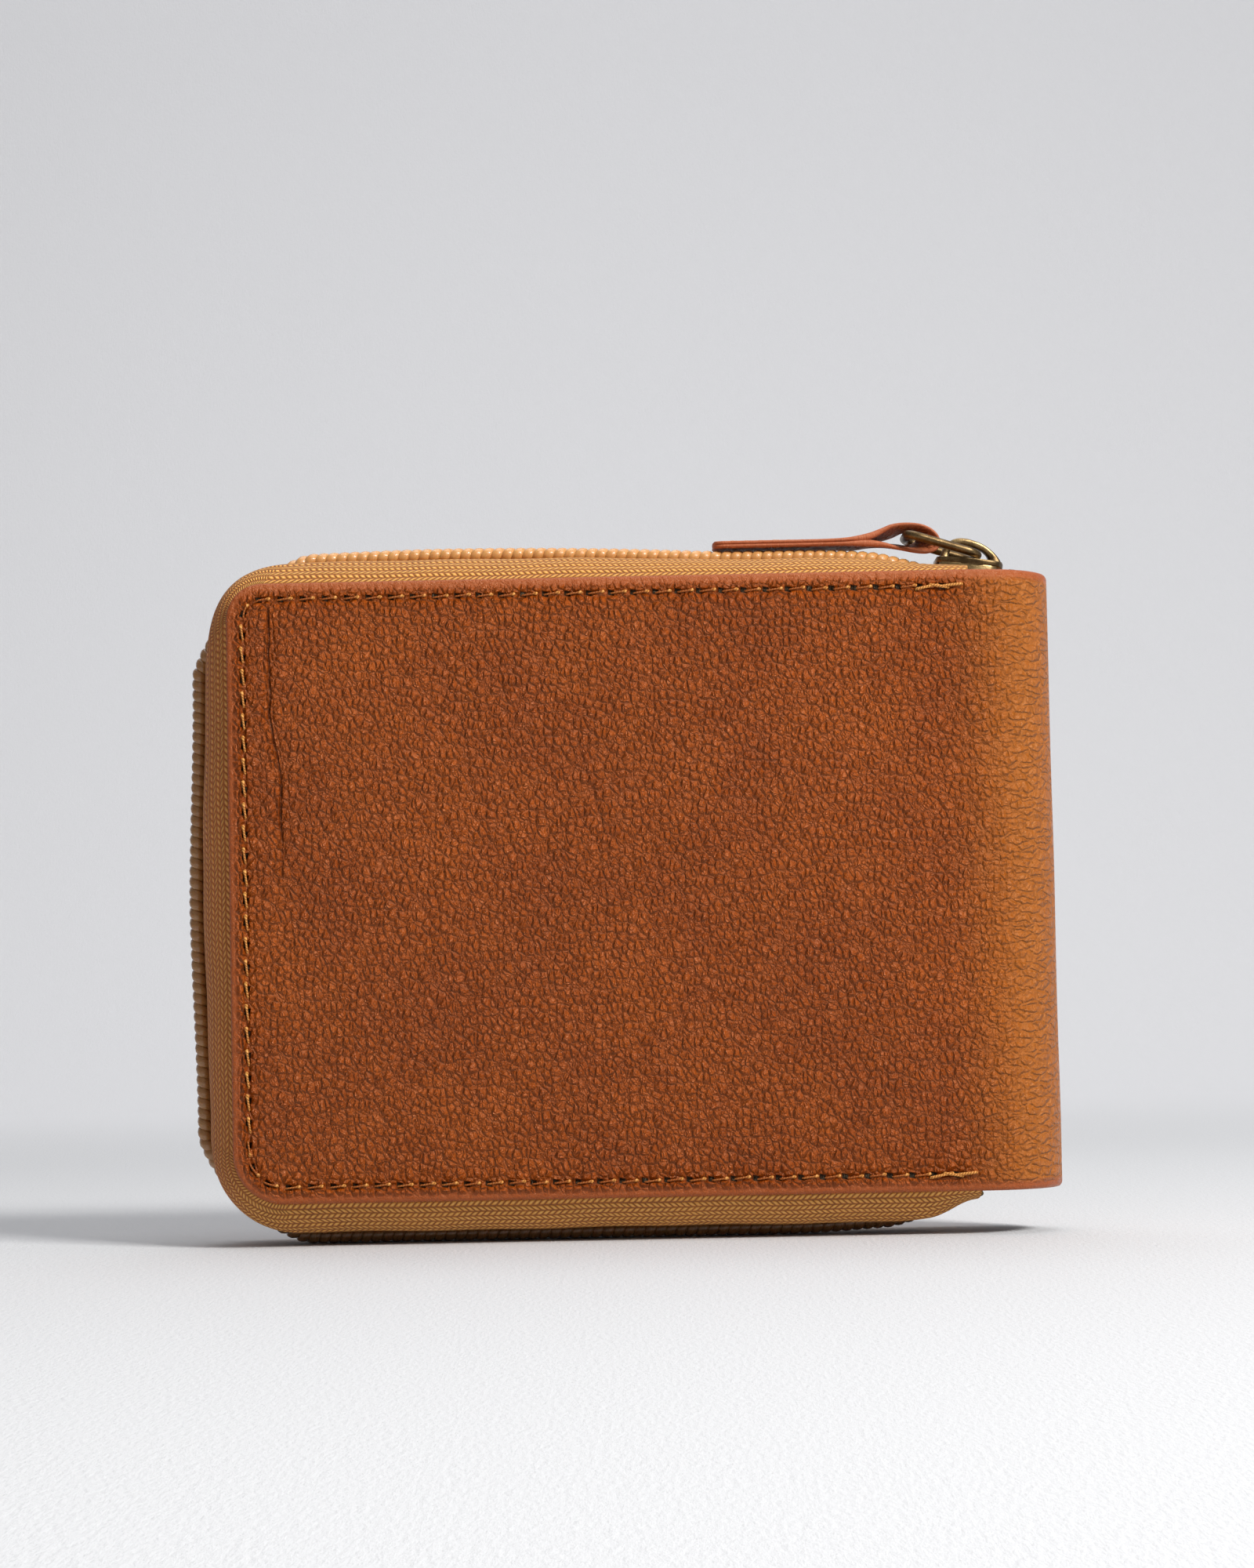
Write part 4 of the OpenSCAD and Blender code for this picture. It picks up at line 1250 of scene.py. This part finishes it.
def plate(side, x_range, z_range, r, y_mid, thick, top_line=True, seed=1, step=0.8):
    relief = pocket_relief(z_range[1], seed) if top_line else None
    return panel(
        (*x_range, *z_range), (r, r, r, r), wall_place(side, y_mid), thick,
        rim=min(0.3, thick / 2), step=step, relief=relief,
    )


def leather_piece(name, parts, body, node):
    piece(name, parts, pocket_hide, body, "pocket_leather", node)


def card_slots(half, side, count, drop, face_y, seed):
    """Stepped card pockets: each is lower than the one behind it by the drop."""
    for k in range(1, count + 1):
        z_range = (POCKET_Z, WALL_TOP - drop * k)
        part = plate(side, CARD_X, z_range, 1.5, face_y - POCKET_T * (k - 0.5), 0.58, seed=seed + k)
        leather_piece(f"card_slot_{half}_{k}", [part], f"{half}_cover", f"{half}_card_pocket_{k}")


# The banknote wall: a sheet on a rim of three strips
left, right = POCKET_X
wall = [plate(BACK, POCKET_X, (POCKET_Z, WALL_TOP), 2, WALL_Y + 0.4, 0.78, seed=21)]
for x_range, top in (
    ((left, left + STRIP), WALL_TOP),
    ((right - STRIP, right), WALL_TOP),
    ((left + STRIP, right - STRIP), POCKET_Z + STRIP),
):
    wall.append(plate(BACK, x_range, (POCKET_Z, top), 0.6, 8.6, 1.0, False, step=1.5))
leather_piece("note_wall", wall, "back_cover", "banknote_pocket_wall")
card_slots("back", BACK, 3, 12, WALL_Y, 30)
part = plate(FRONT, POCKET_X, (POCKET_Z, WALL_TOP), 2, BASE_Y + 0.35, 0.68, seed=41)
leather_piece("pocket_base", [part], "front_cover", "front_pocket_base")
card_slots("front", FRONT, 2, 7.2, BASE_Y, 50)
part = panel(
    (-44, 39, 12, 57), (1, 1, 1, 1), wall_place(FRONT, 7.05), 0.26, rim=0.12, step=2.0,
    relief=lambda u, v, d: 0.01 * waves(u, v, 61),
)
piece("window_sheet", [part], vinyl, "front_cover", "vinyl", "id_window")


def window_frame():
    """Leather frame round the clear window."""
    outer_loop = rounded_loop(-47, 42, 9, 60, 1.5)
    inner_loop = rounded_loop(-39.5, 34.5, 16.5, 52.5, 2.0)
    half = 0.29
    a = np.linspace(0.5, 1.5, 7) * math.pi
    share = np.concatenate([0.04 + 0.04 * np.cos(a), 0.96 - 0.04 * np.cos(a)])
    high = np.concatenate([half * np.sin(a), -half * np.sin(a)])
    top = np.linspace(0.1, 0.9, 9)
    share = np.concatenate([share[:7], 1 - top[::-1], share[7:], top[::-1]])
    high = np.concatenate([high[:7], np.full(9, -half), high[7:], np.full(9, half)])
    grid_u = outer_loop[:, None, 0] * (1 - share) + inner_loop[:, None, 0] * share
    grid_v = outer_loop[:, None, 1] * (1 - share) + inner_loop[:, None, 1] * share
    high = np.broadcast_to(high, grid_u.shape)
    points = wall_place(FRONT, 6.6)(grid_u.ravel(), grid_v.ravel(), high.ravel())
    n, m = grid_u.shape
    ids = number_grid(n, m, True)
    ids = np.concatenate([ids, ids[:1]], 0)
    flat = np.stack([grid_u.ravel(), grid_v.ravel(), high.ravel()], 1)
    gap = np.broadcast_to(np.minimum(share, 1 - share), grid_u.shape) * 7.5
    edge = np.stack([gap.ravel() + 0.4, np.full(n * m, FAR), np.zeros(n * m)], 1)
    return points, grid_faces(ids), flat, edge


leather_piece("window_border", [window_frame()], "front_cover", "id_frame")


def pocket_seams(side, half, face, extra=()):
    """Seams down both sides of the pockets, and any extra rows."""
    parts = []
    place = wall_place(side, face)
    for x in ((POCKET_X[0] + CARD_X[0]) / 2, (POCKET_X[1] + CARD_X[1]) / 2):
        line = np.stack([np.full(80, x), np.linspace(WALL_TOP - 1, POCKET_Z + 1, 80)], 1)
        parts += stitch_parts(line, place, 23, 0.02, radius=0.15, slant=0.05)
    for row in extra:
        parts += stitch_parts(*row)
    seams = build(f"pocket_seams_{half}", parts, pocket_thread)
    place_on(seams, f"{half}_cover", "thread", f"{half}_pocket_stitching")


frame_seam = rounded_loop(-41.2, 36.2, 14.8, 54.2, 2.6)
frame_seam = even(np.concatenate([frame_seam, frame_seam[:1]]), 500)
pocket_seams(BACK, "back", WALL_Y)
pocket_seams(FRONT, "front", BASE_Y, [(frame_seam, wall_place(FRONT, 6.3), 76, 0.0, 0.13)])

for name in ("front_stiffener", "back_stiffener"):
    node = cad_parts[name]
    node.data.materials.clear()
    node.data.materials.append(board)


# ---- stage, light and camera ----

def backdrop():
    """Pale paper sweep: floor that curves up into a wall."""
    s = Shader("paper_sweep")
    where = s.node("TexCoord", {}, 3)
    fibre = s.noise(s.scaled(where, (1800.0, 420.0, 420.0)), 1.0, 4.0, 0.6)
    tooth = s.noise(where, 900.0, 3.0, 0.55)
    colour = s.mix(s.times(fibre, 0.4), rgb(236, 237, 239), rgb(226, 227, 230))
    _, deep, _ = s.split(where)
    colour = s.mix(s.fade(deep, 0.25, 0.75), s.mix(0.5, colour, rgb(186, 187, 189)), rgb(240, 240, 242))
    paper = s.finish(colour, 0.9, s.bump(s.add(fibre, tooth), 0.12), Specular_IOR_Level=0.2)
    t = np.linspace(0, 1, 40)
    radius, start = 500.0, 700.0
    profile = [(-6000.0, 0.0), (-1800.0, 0.0), (-600.0, 0.0), (0.0, 0.0), (start, 0.0)]
    profile += [(start + radius * math.sin(a), radius - radius * math.cos(a)) for a in t * math.pi / 2]
    profile += [(start + radius, 2600.0)]
    profile = np.array(profile)
    width = np.linspace(-6000, 6000, 3)
    points = np.array([[x, y, z] for y, z in profile for x in width])
    ids = np.arange(len(points)).reshape(len(profile), 3)
    make_object("sweep", points, grid_faces(ids, True), paper)


def area_light(name, place, target, size, power, colour):
    data = bpy.data.lights.new(name, "AREA")
    data.shape = "RECTANGLE"
    data.size, data.size_y = size
    data.energy = power
    data.color = colour
    obj = bpy.data.objects.new(name, data)
    bpy.context.scene.collection.objects.link(obj)
    obj.location = place
    obj.rotation_euler = (Vector(target) - Vector(place)).to_track_quat("-Z", "Y").to_euler()


backdrop()
area_light("key", (0.46, -0.5, 0.62), (0, 0, 0.05), (0.24, 0.24), 8.0, (1.0, 0.985, 0.96))
area_light("front_fill", (0.3, -1.1, 1.1), (0, 0, 0.05), (1.0, 0.6), 0.5, (0.97, 0.985, 1.0))
area_light("top", (0.1, 0.35, 1.5), (0, 0.3, 0.0), (1.6, 1.0), 10.0, (0.98, 0.99, 1.0))

world = bpy.data.worlds.new("studio")
world.use_nodes = True
sky = world.node_tree.nodes["Background"]
sky.inputs[0].default_value = (0.96, 0.965, 1.0, 1.0)
sky.inputs[1].default_value = 0.22
bpy.context.scene.world = world
bpy.context.scene.view_settings.view_transform = "Standard"

yaw, pitch, roll = (math.radians(a) for a in (-0.289, 3.5, 1.143))
ahead = Vector((math.sin(yaw) * math.cos(pitch), math.cos(yaw) * math.cos(pitch), math.sin(pitch)))
right = Vector((math.cos(yaw), -math.sin(yaw), 0))
up = right.cross(ahead)
axis_x = right * math.cos(roll) - up * math.sin(roll)
axis_y = right * math.sin(roll) + up * math.cos(roll)
lens = bpy.data.cameras.new("camera")
lens.sensor_fit = "VERTICAL"
lens.sensor_height = 36.0
lens.lens = 84.06
lens.clip_start, lens.clip_end = 0.05, 20.0
camera = bpy.data.objects.new("camera", lens)
bpy.context.scene.collection.objects.link(camera)
turn = Matrix((axis_x, axis_y, -ahead)).transposed().to_4x4()
camera.matrix_world = Matrix.Translation(Vector((3.249, -511.5, 31.76)) * MM) @ turn
bpy.context.scene.camera = camera
